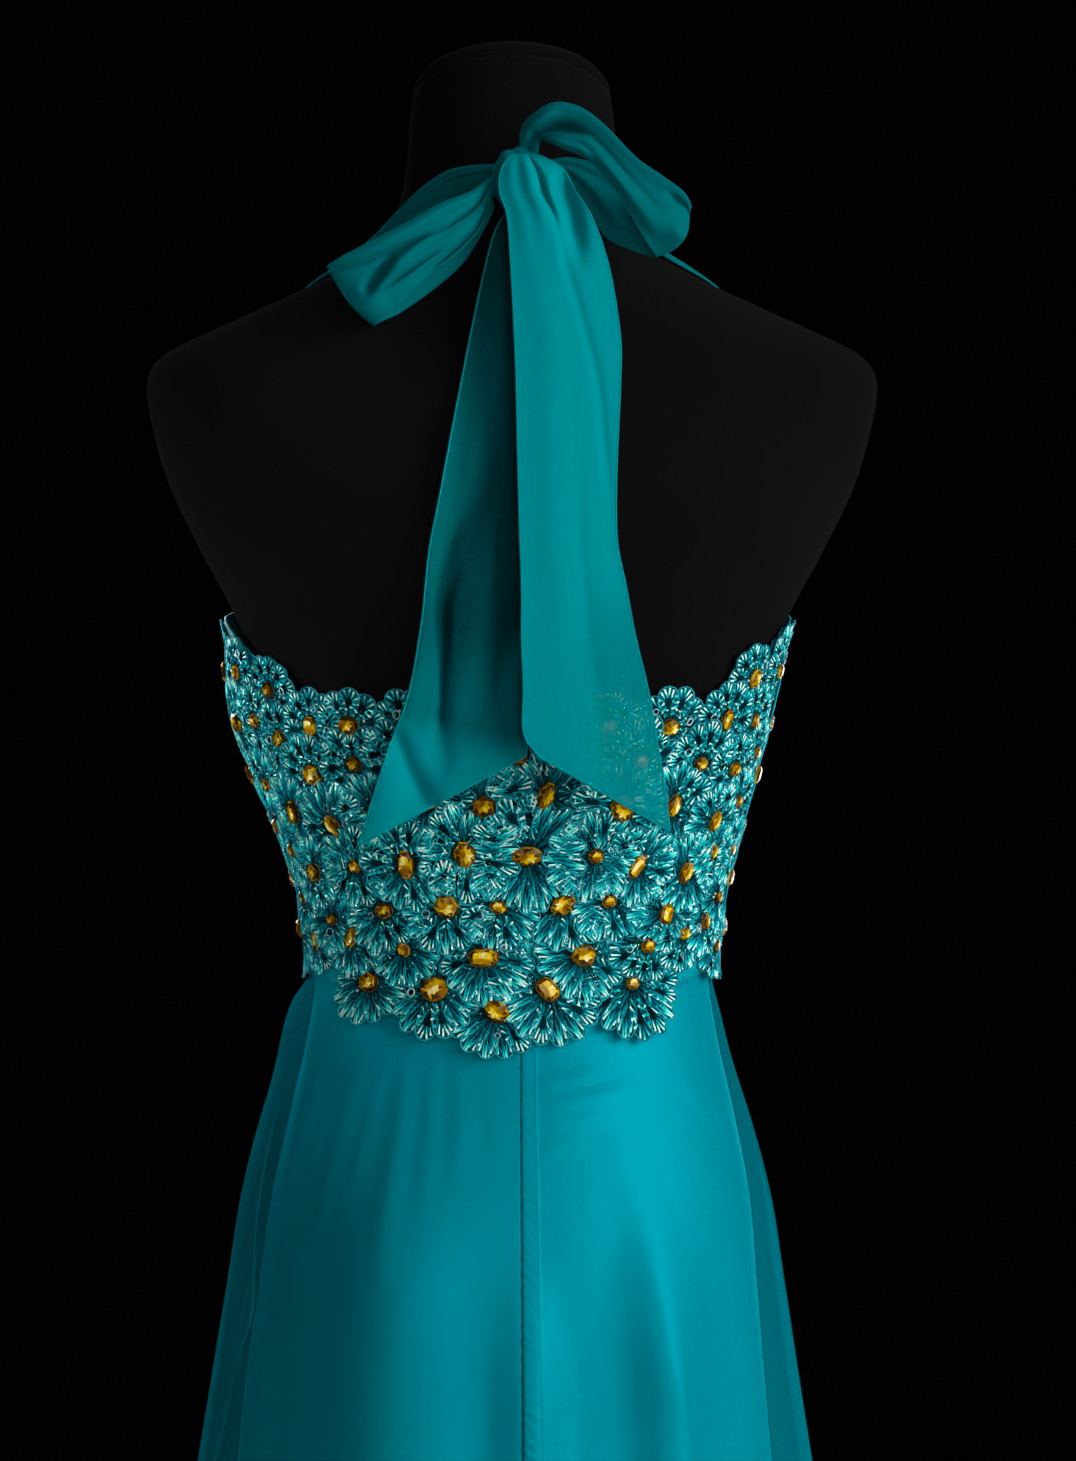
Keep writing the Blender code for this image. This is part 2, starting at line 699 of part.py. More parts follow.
def inside(point, outline):
    """True if the point lies within the outline, both as angle and height."""
    crossings = False
    for (x0, y0), (x1, y1) in zip(outline, outline[1:] + outline[:1]):
        if (y0 > point[1]) != (y1 > point[1]) and point[0] < x0 + (point[1] - y0) * (x1 - x0) / (y1 - y0):
            crossings = not crossings
    return crossings


def flat(point):
    """Angle and height as a flat place in metres, for the triangulation."""
    return Vector((point[0] * FLAT_DEGREE, point[1]))


def unflat(place):
    return place[0] / FLAT_DEGREE, place[1]


def far_from(place, others, least):
    return all((place - other).length > least for other in others)


def bodice_outline(first, last, near):
    """The outline of a bodice piece: its foundation joined with the flowers that reach over its edges."""
    steps = round((last - first) / 9)
    angles = [first + (last - first) * i / steps for i in range(steps + 1)]
    band = [(a, edge_height(BOTTOM_EDGE, a)) for a in angles]
    rise = edge_height(TOP_EDGE, last) - edge_height(BOTTOM_EDGE, last)
    side = [edge_height(BOTTOM_EDGE, last) + rise * i / 12 for i in range(1, 12)]
    band += [(last, z) for z in side]
    band += [(a, edge_height(TOP_EDGE, a)) for a in reversed(angles)]
    band += [(first, z) for z in reversed(side)]
    shapes = [band]
    for flower in near:
        petals = [(min(max(a, first), last), z) for a, z in scallops(flower)]
        over_edge = any(not edge_height(BOTTOM_EDGE, a) < z < edge_height(TOP_EDGE, a) for a, z in petals)
        if over_edge and first + 6 < flower[0] < last - 6:
            shapes.append(petals)
    places, faces = [], []
    for shape in shapes:
        faces.append(list(range(len(places), len(places) + len(shape))))
        places += [flat(p) for p in shape]
    places, _, triangles, _, _, _ = delaunay_2d_cdt(places, [], faces, 1, 1e-6)
    uses = {}
    for triangle in triangles:
        for a, b in zip(triangle, triangle[1:] + triangle[:1]):
            uses[(a, b)] = True
    follows = {a: b for a, b in uses if (b, a) not in uses}
    start = min(follows, key=lambda i: (places[i].x, places[i].y))
    loop, at = [places[start]], follows[start]
    while at != start:
        if (places[at] - loop[-1]).length > 0.0012:
            loop.append(places[at])
        at = follows[at]
    return loop


def relief_points(near, loop, spare):
    """Places on the bodice with their heights over the foundation, and the edges round its stones."""
    outline = [tuple(p) for p in loop]
    kept, lifts, rings = list(loop), [EDGE_LIFT] * len(loop), []
    covers = [[tuple(flat(p)) for p in rim(flower)] for flower in near]

    def keep(points, lift, least, above):
        first_kept = len(kept)
        for point in points:
            place = flat(point)
            if inside(place, outline) and not any(inside(place, cover) for cover in above):
                if far_from(place, kept, least):
                    kept.append(place)
                    lifts.append(lift)
        return list(range(first_kept, len(kept)))

    def join(ring, longest):
        for a, b in zip(ring, ring[1:] + ring[:1]):
            if (kept[a] - kept[b]).length < longest:
                rings.append((a, b))

    for i, flower in enumerate(near):
        layer = LAYER_LIFT * flower[6]
        if not any(inside(flat(flower[:2]), cover) for cover in covers[:i]):
            for share, lift in ((0.66, STONE_LIFT), (1.15, HOLLOW_LIFT)):
                join(keep(stone_outline(flower, share), lift + layer, 0.0012, covers[:i]), flower[3])
    for i, flower in enumerate(near):
        layer = LAYER_LIFT * flower[6]
        petals = around_flower(flower, [0.66 * flower[2]] * PETALS, 17 * flower[6])
        keep(petals, PETAL_LIFT + layer, 0.0045, covers[:i])
        join(keep(rim(flower), RIM_LIFT + layer, 0.0038, covers[:i]), 0.5 * flower[2])
    for place in spare:
        if far_from(place, kept, 0.010):
            kept.append(place)
            lifts.append(RIM_LIFT)
    return kept, lifts, rings


def inner_places(first, last, loop):
    """A plain grid of places for the inside of a bodice piece, within its outline."""
    outline = [tuple(p) for p in loop]
    made = []
    step = 360 / AROUND
    on_skirt = [(step * i / 2, z) for i in range(-36, 73) for z in (1.036, 1.058, 1.078)]
    on_form = [(step * i, z) for i in range(-18, 37) for z in FORM_ROWS if z > 1.09]
    for point in on_skirt + on_form:
        place = flat(point)
        if first < point[0] < last and inside(place, outline) and far_from(place, loop, 0.006):
            made.append(place)
    return made


def bodice_piece(name, first, last, all_flowers, collection):
    """A wall whose outer points carry the applique over a plain inside."""
    near = [f for f in all_flowers if first - 2 < f[0] < last + 2]
    loop = bodice_outline(first, last, near)
    edge = list(range(len(loop)))
    grid = inner_places(first, last, loop)
    outer, lifts, rings = relief_points(near, loop, grid)
    outer, _, outer_faces, _, _, _ = delaunay_2d_cdt(outer, rings, [edge], 1, 1e-7)
    lifts += [RIM_LIFT] * (len(outer) - len(lifts))
    inner = loop + grid
    inner, _, inner_faces, _, _, _ = delaunay_2d_cdt(inner, [], [edge], 1, 1e-7)
    points = [bodice_point(*unflat(p), FOUNDATION + lift) for p, lift in zip(outer, lifts)]
    points += [bodice_point(*unflat(p), 0) for p in inner]
    start = len(outer)
    faces = [tuple(f) for f in outer_faces]
    faces += [tuple(start + i for i in reversed(f)) for f in inner_faces]
    for a, b in zip(edge, edge[1:] + edge[:1]):
        faces.append((b, a, start + a, start + b))
    add_object(name, mesh_of(name, points, faces), APPLIQUE, collection)


def bodice(collection):
    made = flowers()
    seam = SEAM_GAP / 2 / 0.12 / DEGREE
    bodice_piece("bodice_back", -SIDE_SEAM + seam, SIDE_SEAM - seam, made, collection)
    bodice_piece("bodice_front", SIDE_SEAM + seam, 360 - SIDE_SEAM - seam, made, collection)


def halter_straps(collection):
    """Gathered straps that lie on the form from each cup to the knot."""
    steps, across = 16, 4
    rows_at = [(i, *row) for i, row in enumerate(STRAP)]
    for name, side in (("strap_left", -1), ("strap_right", 1)):
        rows = []
        for i in range(steps + 1):
            at = i * (len(STRAP) - 1) / steps
            angle, height, half_angle, half_height, off = [smooth(rows_at, c, at) for c in range(1, 6)]
            row = []
            for k in range(across + 1):
                share = 2 * k / across - 1
                gather = 0.0008 * (k % 2) * eased(at, 3, 7)
                place = (side * (angle + half_angle * share), height + half_height * share)
                point = body_point(*place, off + gather)
                point.x += KNOT.x * eased(at, 8, 12)
                row.append(point)
            rows.append(row if side > 0 else row[::-1])
        strap = add_object(name, sheet_mesh(name, rows), TEAL_CHIFFON, collection)
        thicken(strap, RIBBON, 1)


def ribbon(name, table, steps, across, folds, collection):
    """A ribbon of the bow through the rows of its table, with soft folds along it."""
    rows_at = [(i, *row) for i, row in enumerate(table)]
    rows = []
    for i in range(steps + 1):
        at = i * (len(table) - 1) / steps
        x0, z0, x1, z1, near = [smooth(rows_at, c, at) / 1000 for c in range(1, 6)]
        width = math.hypot(x1 - x0, z1 - z0)
        row = []
        for k in range(across + 1):
            share = k / across
            fold = 0.0
            for waves, depth in folds:
                fold += depth * width * math.sin(waves * math.pi * share + 0.25 * at)
            bow = 0.10 * width * math.sin(math.pi * share)
            across_it, up = x0 + (x1 - x0) * share, z0 + (z1 - z0) * share
            row.append(KNOT + Vector((across_it, -near - bow - fold, up)))
        rows.append(row)
    made = add_object(name, sheet_mesh(name, rows), TEAL_CHIFFON, collection)
    thicken(made, RIBBON, 0)


def bow(collection):
    """The knot, its two loops and its two hanging tails."""
    mesh = bpy.data.meshes.new("bow_knot")
    shape = bmesh.new()
    bmesh.ops.create_uvsphere(shape, u_segments=14, v_segments=8, radius=1)
    for vertex in shape.verts:
        crease = 1 + 0.05 * math.cos(6 * math.atan2(vertex.co.x, vertex.co.z))
        vertex.co = KNOT + KNOT_SIZE * crease * vertex.co
    shape.to_mesh(mesh)
    shape.free()
    add_object("bow_knot", mesh, TEAL_CHIFFON, collection)
    ribbon("bow_loop_left", LEFT_LOOP, 17, 6, ((3, 0.05),), collection)
    ribbon("bow_loop_right", RIGHT_LOOP, 20, 6, ((3, 0.05),), collection)
    ribbon("bow_tail_right", RIGHT_TAIL, 15, 8, ((3, 0.03),), collection)
    ribbon("bow_tail_left", LEFT_TAIL, 15, 8, ((4, 0.04),), collection)


def main():
    clear_scene()
    collection = bpy.data.collections.new("halter_maxi_dress")
    bpy.context.scene.collection.children.link(collection)
    dress_form(collection)
    skirts(collection)
    bodice(collection)
    halter_straps(collection)
    bow(collection)


main()
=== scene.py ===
"""The looks of a halter maxi dress on a limbless dress form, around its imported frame.

A beaded applique bodice, a satin skirt under a sheer chiffon overskirt, and a chiffon bow at the nape.
Metres, +Z up, the floor at z = 0, the back of the dress towards -Y and its left, as seen from behind,
towards -X. Angles run round the body from the centre back, positive towards +X, in degrees.
"""

import json
import math
import random

import bpy
import numpy as np
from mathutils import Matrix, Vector
from mathutils.geometry import delaunay_2d_cdt

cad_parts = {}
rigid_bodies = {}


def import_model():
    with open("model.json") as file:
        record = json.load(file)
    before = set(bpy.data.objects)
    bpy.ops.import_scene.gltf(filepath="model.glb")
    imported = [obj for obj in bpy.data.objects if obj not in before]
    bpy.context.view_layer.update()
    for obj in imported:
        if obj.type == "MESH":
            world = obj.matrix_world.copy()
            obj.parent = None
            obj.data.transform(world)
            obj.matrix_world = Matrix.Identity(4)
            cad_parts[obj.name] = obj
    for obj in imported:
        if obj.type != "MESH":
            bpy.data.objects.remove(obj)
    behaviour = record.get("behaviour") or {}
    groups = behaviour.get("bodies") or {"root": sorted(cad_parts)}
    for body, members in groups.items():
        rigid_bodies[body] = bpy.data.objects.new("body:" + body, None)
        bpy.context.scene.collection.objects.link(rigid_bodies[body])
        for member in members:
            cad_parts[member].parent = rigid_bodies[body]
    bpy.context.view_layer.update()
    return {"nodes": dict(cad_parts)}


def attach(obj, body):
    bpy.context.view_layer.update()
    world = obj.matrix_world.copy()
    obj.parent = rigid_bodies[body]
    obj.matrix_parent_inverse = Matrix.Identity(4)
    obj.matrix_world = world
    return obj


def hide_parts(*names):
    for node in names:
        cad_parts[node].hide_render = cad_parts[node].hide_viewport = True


# The photograph: its height in pixels, where it was taken from, what a pixel shows, and the sensor
PHOTO_HEIGHT = 1461
CAMERA_PLACE = Vector((0.0147, -2.4, 1.193))
METRES_A_PIXEL = 0.000567
SENSOR = 36.0

# Sizes that the frame's pieces share
WAIST = 1.060
FORM_BOTTOM = 0.800
TORSO_TOP = 1.500
SKIRT_TOP = 1.076
OVER_SKIRTS = 1.100
SATIN_HEM = 0.040
CHIFFON_HEM = 0.024
HEM_DEPTH = 0.012
SATIN = 0.0012
CHIFFON = 0.0010
FORM_INSET = 0.0004
UNDER_SATIN = 0.0006
LAYER_GAP = 0.0013
ON_FORM = 0.0013
SEAM_GAP = 0.0003
KNOT = Vector((0.004, -0.080, 1.495))
KNOT_SIZE = Vector((0.0145, 0.0125, 0.0170))
CENTRE_BACK_SEAM = 2.4
SIDE_SEAM = 95.0
LEAN = 0.0038
STRAP_ROOM = 0.0030
DEGREE = math.pi / 180

# Near the waist: metres round it for each degree, and the turn of half a seam's gap
WAIST_RADIUS = 0.12
ROUND_A_DEGREE = WAIST_RADIUS * DEGREE
SEAM_TURN = SEAM_GAP / 2 / WAIST_RADIUS / DEGREE

# Where the bodice stands open under the left armhole, in the columns of FIGURE
GAPING = (-97.0, 1.200, 22.0, 0.058, 0.0135)

# Walls of the shown cloth
SATIN_WALL = 0.0009
SHEER_WALL = 0.0004
GROUND_WALL = 0.0010
TIE_WALL = 0.0007

# Sections of the form: height, half width, depth behind and before the pole, squareness of the ring
FORM_SECTIONS = (
    (0.812, 0.1290, 0.1040, 0.0870, 2.00),
    (0.860, 0.1320, 0.1110, 0.0940, 2.00),
    (0.900, 0.1300, 0.1090, 0.0980, 2.00),
    (0.940, 0.1260, 0.1030, 0.0980, 2.00),
    (0.980, 0.1200, 0.0940, 0.0950, 2.00),
    (1.020, 0.1130, 0.0840, 0.0900, 2.05),
    (1.060, 0.1090, 0.0780, 0.0870, 2.10),
    (1.100, 0.1155, 0.0830, 0.0910, 2.15),
    (1.150, 0.1285, 0.0940, 0.1010, 2.20),
    (1.200, 0.1412, 0.1040, 0.1090, 2.20),
    (1.250, 0.1535, 0.1100, 0.1070, 2.20),
    (1.290, 0.1740, 0.1120, 0.0980, 2.30),
    (1.330, 0.1935, 0.1080, 0.0860, 2.40),
    (1.360, 0.2025, 0.1020, 0.0750, 2.50),
    (1.385, 0.2070, 0.0940, 0.0640, 2.50),
    (1.397, 0.2045, 0.0890, 0.0590, 2.50),
    (1.405, 0.1970, 0.0865, 0.0560, 2.47),
    (1.412, 0.1840, 0.0840, 0.0540, 2.45),
    (1.420, 0.1665, 0.0810, 0.0520, 2.40),
    (1.4315, 0.1417, 0.0765, 0.0500, 2.30),
    (1.443, 0.1168, 0.0720, 0.0490, 2.20),
    (1.4545, 0.0955, 0.0660, 0.0490, 2.10),
    (1.466, 0.0800, 0.0600, 0.0500, 2.05),
    (1.480, 0.0690, 0.0555, 0.0520, 2.00),
    (1.500, 0.0618, 0.0500, 0.0560, 2.00),
    (1.520, 0.0595, 0.0470, 0.0590, 2.00),
)
NECK_RINGS = (
    (1.5160, 0.0592, 0.0480, 0.0580, 0.15),
    (1.5310, 0.0583, 0.0455, 0.0600, 0.33),
    (1.5435, 0.0562, 0.0425, 0.0620, 0.50),
)
CAP_RINGS = ((0.0003, 0.0), (0.0055, 0.0006), (0.0100, 0.0040), (0.0125, 0.0110), (0.0135, 0.0240))

# Rounded forms of a general figure: angle, height, angle and height over which it fades, depth
FIGURE = (
    (145.0, 1.200, 27.0, 0.052, 0.0170),
    (-145.0, 1.200, 27.0, 0.052, 0.0170),
    (36.0, 1.320, 24.0, 0.055, 0.0040),
    (-36.0, 1.320, 24.0, 0.055, 0.0040),
    (34.0, 0.872, 26.0, 0.050, 0.0060),
    (-34.0, 0.872, 26.0, 0.050, 0.0060),
)

# Inner face of the satin skirt: height, half width, depth behind and before the pole
SATIN_SECTIONS = (
    (1.090, 0.1137, 0.0816, 0.0900),
    (1.060, 0.1096, 0.0786, 0.0876),
    (1.020, 0.1150, 0.0862, 0.0915),
    (0.980, 0.1240, 0.0985, 0.0980),
    (0.930, 0.1335, 0.1100, 0.1040),
    (0.880, 0.1375, 0.1175, 0.1070),
    (0.810, 0.1425, 0.1215, 0.1110),
    (0.700, 0.1510, 0.1300, 0.1200),
    (0.500, 0.1670, 0.1490, 0.1430),
    (0.250, 0.1862, 0.1800, 0.1705),
    (0.040, 0.2005, 0.2005, 0.1900),
    (0.000, 0.2035, 0.2040, 0.1930),
)

# How far the chiffon stands off the satin: height, at the sides, at the centre back and front
CHIFFON_SECTIONS = (
    (1.090, 0.0006, 0.0006),
    (1.060, 0.0008, 0.0006),
    (1.030, 0.0050, 0.0007),
    (0.980, 0.0115, 0.0012),
    (0.930, 0.0140, 0.0020),
    (0.880, 0.0160, 0.0030),
    (0.780, 0.0200, 0.0060),
    (0.600, 0.0280, 0.0150),
    (0.300, 0.0400, 0.0320),
    (0.000, 0.0520, 0.0500),
)

# Hanging folds: angle, half width of the fold, depth at the hem, height where it starts
SATIN_FOLDS = (
    (-62.0, 15.0, 0.014, 0.930),
    (-24.0, 11.0, 0.022, 0.960),
    (22.0, 12.0, 0.020, 0.900),
    (58.0, 14.0, 0.016, 0.950),
    (100.0, 13.0, 0.018, 0.900),
    (138.0, 12.0, 0.020, 0.930),
    (176.0, 13.0, 0.016, 0.900),
    (-140.0, 12.0, 0.020, 0.940),
    (-102.0, 12.0, 0.018, 0.900),
)
CHIFFON_FOLDS = (
    (-172.0, 7.0, 0.030, 0.930),
    (-153.0, 6.5, 0.022, 0.860),
    (-134.0, 7.5, 0.034, 0.960),
    (-116.0, 6.0, 0.024, 0.900),
    (-97.0, 7.0, 0.030, 0.985),
    (-80.0, 6.5, 0.034, 0.965),
    (-61.0, 7.0, 0.026, 0.900),
    (-44.0, 6.0, 0.020, 0.840),
    (-26.0, 7.5, 0.028, 0.800),
    (-8.0, 6.0, 0.016, 0.700),
    (12.0, 6.5, 0.018, 0.680),
    (31.0, 7.0, 0.028, 0.820),
    (49.0, 6.5, 0.022, 0.900),
    (66.0, 6.5, 0.030, 0.940),
    (83.0, 7.0, 0.034, 0.985),
    (101.0, 6.5, 0.026, 0.960),
    (119.0, 7.0, 0.030, 0.910),
    (137.0, 6.5, 0.024, 0.950),
    (155.0, 7.5, 0.032, 0.880),
    (171.0, 6.0, 0.020, 0.930),
)

# Small creases that both skirts share: angle and height of each end, half width and how far they
# stand out in metres
SKIRT_CREASES = (
    (-42.0, 1.016, -45.0, 0.900, 0.0055, 0.0020),
    (-35.0, 1.014, -37.0, 0.930, 0.0040, 0.0016),
    (-28.0, 1.016, -27.0, 0.890, 0.0055, 0.0018),
    (-20.5, 1.016, -19.0, 0.920, 0.0040, 0.0014),
    (-55.0, 1.012, -60.0, 0.880, 0.0070, 0.0020),
    (-13.0, 1.010, -12.5, 0.945, 0.0045, 0.0011),
    (7.0, 1.000, 24.0, 1.004, 0.0030, 0.0010),
    (8.0, 0.989, 34.0, 0.996, 0.0032, 0.0013),
    (9.0, 0.979, 28.0, 0.984, 0.0030, 0.0010),
    (7.0, 0.966, 20.0, 0.970, 0.0034, 0.0008),
    (26.0, 0.975, 36.0, 0.900, 0.0080, 0.0010),
    (52.0, 1.000, 70.0, 0.965, 0.0055, 0.0009),
    (60.0, 1.008, 80.0, 0.950, 0.0070, 0.0010),
    (110.0, 1.014, 118.0, 0.930, 0.0065, 0.0012),
    (128.0, 1.014, 131.0, 0.955, 0.0050, 0.0009),
    (147.0, 1.012, 149.0, 0.920, 0.0070, 0.0011),
    (163.0, 1.010, 161.0, 0.960, 0.0050, 0.0008),
    (178.0, 1.010, 180.0, 0.940, 0.0065, 0.0010),
    (-168.0, 1.010, -164.0, 0.965, 0.0050, 0.0008),
    (-152.0, 1.012, -150.0, 0.925, 0.0070, 0.0012),
    (-133.0, 1.014, -135.0, 0.950, 0.0050, 0.0009),
    (-113.0, 1.014, -120.0, 0.915, 0.0065, 0.0012),
)

# Broad soft folds that both skirts share: angle at its start and at the hem, half width in
# degrees on either side, depth, and the heights over which it grows
SKIRT_DRAPES = (
    (-27.5, -29.0, 16.0, 17.0, 0.0110, 1.005, 0.890),
    (-13.0, -12.0, 7.0, 6.0, 0.0030, 0.900, 0.780),
    (4.5, 5.0, 9.0, 5.5, 0.0095, 0.930, 0.810),
    (33.0, 37.0, 6.4, 13.0, 0.0185, 0.950, 0.835),
    (70.0, 74.0, 8.0, 8.0, 0.0040, 0.950, 0.800),
    (118.0, 122.0, 8.0, 8.0, 0.0045, 0.950, 0.780),
    (146.0, 143.0, 6.0, 8.0, 0.0050, 0.930, 0.780),
    (172.0, 174.0, 7.0, 7.0, 0.0040, 0.940, 0.800),
    (-158.0, -155.0, 9.0, 6.0, 0.0050, 0.960, 0.790),
    (-128.0, -132.0, 7.0, 7.0, 0.0045, 0.930, 0.780),
    (-98.0, -95.0, 8.0, 8.0, 0.0040, 0.950, 0.800),
)

# What the satin alone stands out at the sides, in the same columns
SATIN_DRAPES = (
    (-86.0, -84.0, 14.0, 12.0, 0.0080, 0.990, 0.780),
)

# Narrow folds of the sheer overskirt alone: angle at its start and at the hem, half width in
# degrees, depth, and the heights over which it grows
SHEER_FOLDS = (
    (-90.0, -90.0, 16.0, 14.0, 0.0080, 1.062, 1.038),
    (-90.0, -90.0, 16.0, 14.0, -0.0080, 1.036, 0.985),
    (-97.0, -92.0, 2.6, 2.6, -0.0030, 1.000, 0.900),
    (-106.0, -102.0, 2.6, 2.6, 0.0040, 1.000, 0.880),
    (92.0, 87.0, 2.6, 2.6, -0.0030, 1.000, 0.900),
    (101.0, 98.0, 2.6, 2.6, 0.0040, 1.000, 0.880),
    (-165.0, -168.0, 3.0, 3.0, 0.0040, 0.980, 0.850),
    (-128.0, -124.0, 3.0, 3.0, 0.0040, 0.980, 0.850),
)

# Soft pleats where the sheer overskirt is folded back on itself: angle and height of each end,
# and half width in degrees; then how far they lift the cloth, and how far they turn it back
PLEATS = (
    (-71.0, 1.015, -63.0, 0.800, 3.0),
    (-60.0, 0.935, -82.0, 0.690, 3.2),
)
PLEAT_GAP = 0.0013
PLEAT_TURN = 2.3

# The pressed centre back seam: how far beside it anything shows, the width and rise of its
# allowance, its groove, and the puckers along it
SEAM_REACH = 0.04
ALLOWANCE = 0.0080
ALLOWANCE_EDGE = 0.0012
ALLOWANCE_RISE = 0.00030
SEAM_GROOVE = 0.0005
GROOVE_HALF_WIDTH = 0.0007
PUCKER_MIDDLE = 0.003
PUCKER_HALF_WIDTH = 0.005
PUCKER_SHOWN = 0.003
PUCKER_PERIOD = 0.0120
PUCKER_RISE = 0.00050

# Edges of the bodice foundation: angle either side of the centre back, height
TOP_EDGE = (
    (0, 1.204), (30, 1.204), (46, 1.208), (60, 1.222), (76, 1.243), (90, 1.256), (104, 1.261),
    (120, 1.271), (135, 1.291), (146, 1.304), (156, 1.290), (166, 1.258), (174, 1.238), (180, 1.233),
)
BOTTOM_EDGE = (
    (0, 1.036), (30, 1.040), (52, 1.050), (72, 1.060), (95, 1.063), (120, 1.058), (150, 1.047),
    (180, 1.040),
)

# Applique flowers of the back: across and above the waist at the centre back, radius of the
# flower, length and width of its stone, the stone's turn, and its cut, in millimetres and degrees
BACK_FLOWERS = (
    (-8, -21, 27, 15, 12, -35, "oval"),
    (-42, -9, 27, 16, 14, 20, "round"),
    (-78, -6, 24, 13, 12, 0, "star"),
    (20, -9, 31, 15, 11, -50, "step"),
    (66, -6, 31, 8, 8, 0, "round"),
    (-15, 9, 27, 17, 11, 5, "step"),
    (39, 10, 26, 15, 13, -20, "star"),
    (74, 15, 23, 9, 9, 0, "round"),
    (-87, 19, 23, 14, 8, 60, "navette"),
    (94, 21, 22, 9, 8, 0, "star"),
    (106, 27, 20, 11, 7, 80, "navette"),
    (-98, 28, 20, 8, 7, 0, "round"),
    (-107, 16, 19, 12, 6, 80, "navette"),
    (-69, 34, 25, 11, 10, 0, "star"),
    (-35, 37, 26, 15, 14, -30, "star"),
    (-7, 37, 24, 10, 9, 0, "round"),
    (28, 38, 26, 15, 13, 30, "pear"),
    (53, 40, 24, 9, 9, 0, "round"),
    (84, 32, 23, 13, 9, 80, "step"),
    (-108, 55, 22, 12, 11, 40, "star"),
    (-85, 59, 23, 8, 8, 0, "round"),
    (-57, 60, 27, 17, 9, 85, "step"),
    (-25, 66, 28, 15, 13, 90, "oval"),
    (9, 65, 34, 17, 11, 0, "oval"),
    (46, 65, 27, 9, 9, 0, "round"),
    (68, 59, 24, 15, 8, 65, "step"),
    (95, 55, 24, 14, 9, 75, "navette"),
    (110, 66, 20, 10, 7, 80, "navette"),
    (-119, 88, 22, 14, 10, 80, "oval"),
    (-97, 81, 25, 15, 9, -60, "navette"),
    (-73, 88, 24, 11, 10, 0, "oval"),
    (-46, 95, 26, 13, 12, 0, "star"),
    (-15, 92, 27, 14, 13, 0, "star"),
    (19, 98, 28, 16, 10, 70, "oval"),
    (60, 91, 27, 16, 13, -70, "oval"),
    (88, 92, 25, 14, 9, 75, "navette"),
    (111, 83, 23, 14, 8, 70, "navette"),
    (-108, 109, 24, 14, 12, 10, "star"),
    (-85, 115, 23, 9, 9, 0, "round"),
    (-60, 118, 24, 12, 10, 30, "star"),
    (-30, 118, 25, 13, 11, 0, "oval"),
    (4, 121, 25, 14, 11, 90, "step"),
    (38, 118, 25, 13, 10, 0, "star"),
    (70, 117, 24, 10, 9, 0, "round"),
    (103, 115, 24, 9, 8, 0, "round"),
    (122, 112, 21, 9, 9, 0, "star"),
    (-126, 129, 22, 11, 10, 20, "star"),
    (-109, 136, 21, 11, 9, 80, "step"),
    (-88, 136, 21, 13, 11, 0, "star"),
    (-54, 135, 21, 10, 10, 0, "round"),
    (-20, 136, 21, 12, 10, 40, "oval"),
    (18, 136, 21, 12, 10, 0, "star"),
    (52, 135, 21, 11, 9, 20, "step"),
    (86, 135, 22, 11, 10, 0, "star"),
    (117, 139, 22, 14, 8, 80, "step"),
    (-132, 156, 20, 9, 9, 0, "round"),
    (133, 162, 20, 12, 8, 70, "oval"),
)
FRONT_ROWS = (
    (-6, 9), (22, 10), (51, 9), (80, 10), (109, 11), (138, 10), (167, 11), (196, 10), (224, 11),
)
FRONT_FLOWERS_FROM = 78.0
FRONT_CUTS = ("oval", "round", "star", "step", "navette", "pear")
CUTS = {
    "navette": (0, 1), "oval": (2, 3), "pear": (4,), "round": (5, 6), "star": (7, 8), "step": (9, 10),
}
MOST_ROWS_FROM_MIDDLE = 3.0
MIDDLE_ROW = WAIST + 0.065

# The size that petals and stitches are drawn at
PETAL_LENGTH = 0.026
PETAL_HALF_WIDTH = 0.0068
STITCH_LENGTH = 0.010

# Round a flower: how far apart its petals stand, how short and wide they may be, how high all
# that is sewn on lies over the foundation, and how many stitches and beads there are
FAN_PITCH = 0.0118
EYELET_PITCH = 0.0128
EYELETS_ABOVE = 1.166
SHORTEST_PETAL = 0.012
PETAL_SHARE = 0.94
PETAL_BASE_LIFT = 0.0010
PETAL_TIP_LIFT = 0.0016
STITCH_LIFT = 0.0017
STONE_SEAT = 0.0018
BEAD_SEAT = 0.0022
SETTING_HEIGHT = 0.0022
STITCHES = 20
BEADS = 9
SEWN_ON = ("petals", "cords", "stitches", "stones", "settings", "beads", "rings")

# The sheet that the applique is laid on, the flat measure and spacing of its foundation, and how
# far the flowers stand out
FLAT = {"angle": (-116.0, 286.0), "height": (0.985, 1.400), "columns": 202, "rows": 84}
FLAT_DEGREE = 0.0022
GROUND_STEP = 0.0048
FLOWERS_THICK = 0.0068

# Small flowers that fill what room is left: least distance to the next, radius, size of the stone
FILLER_SPACE = 0.0235
FILLER = (0.021, 0.009, 0.008)

# How near a neighbour is, how far middles stay below the top edge, metres round for each degree
NEAR_FLOWERS = 0.062
BELOW_TOP_EDGE = 0.012
BODICE_DEGREE = 0.13 * DEGREE

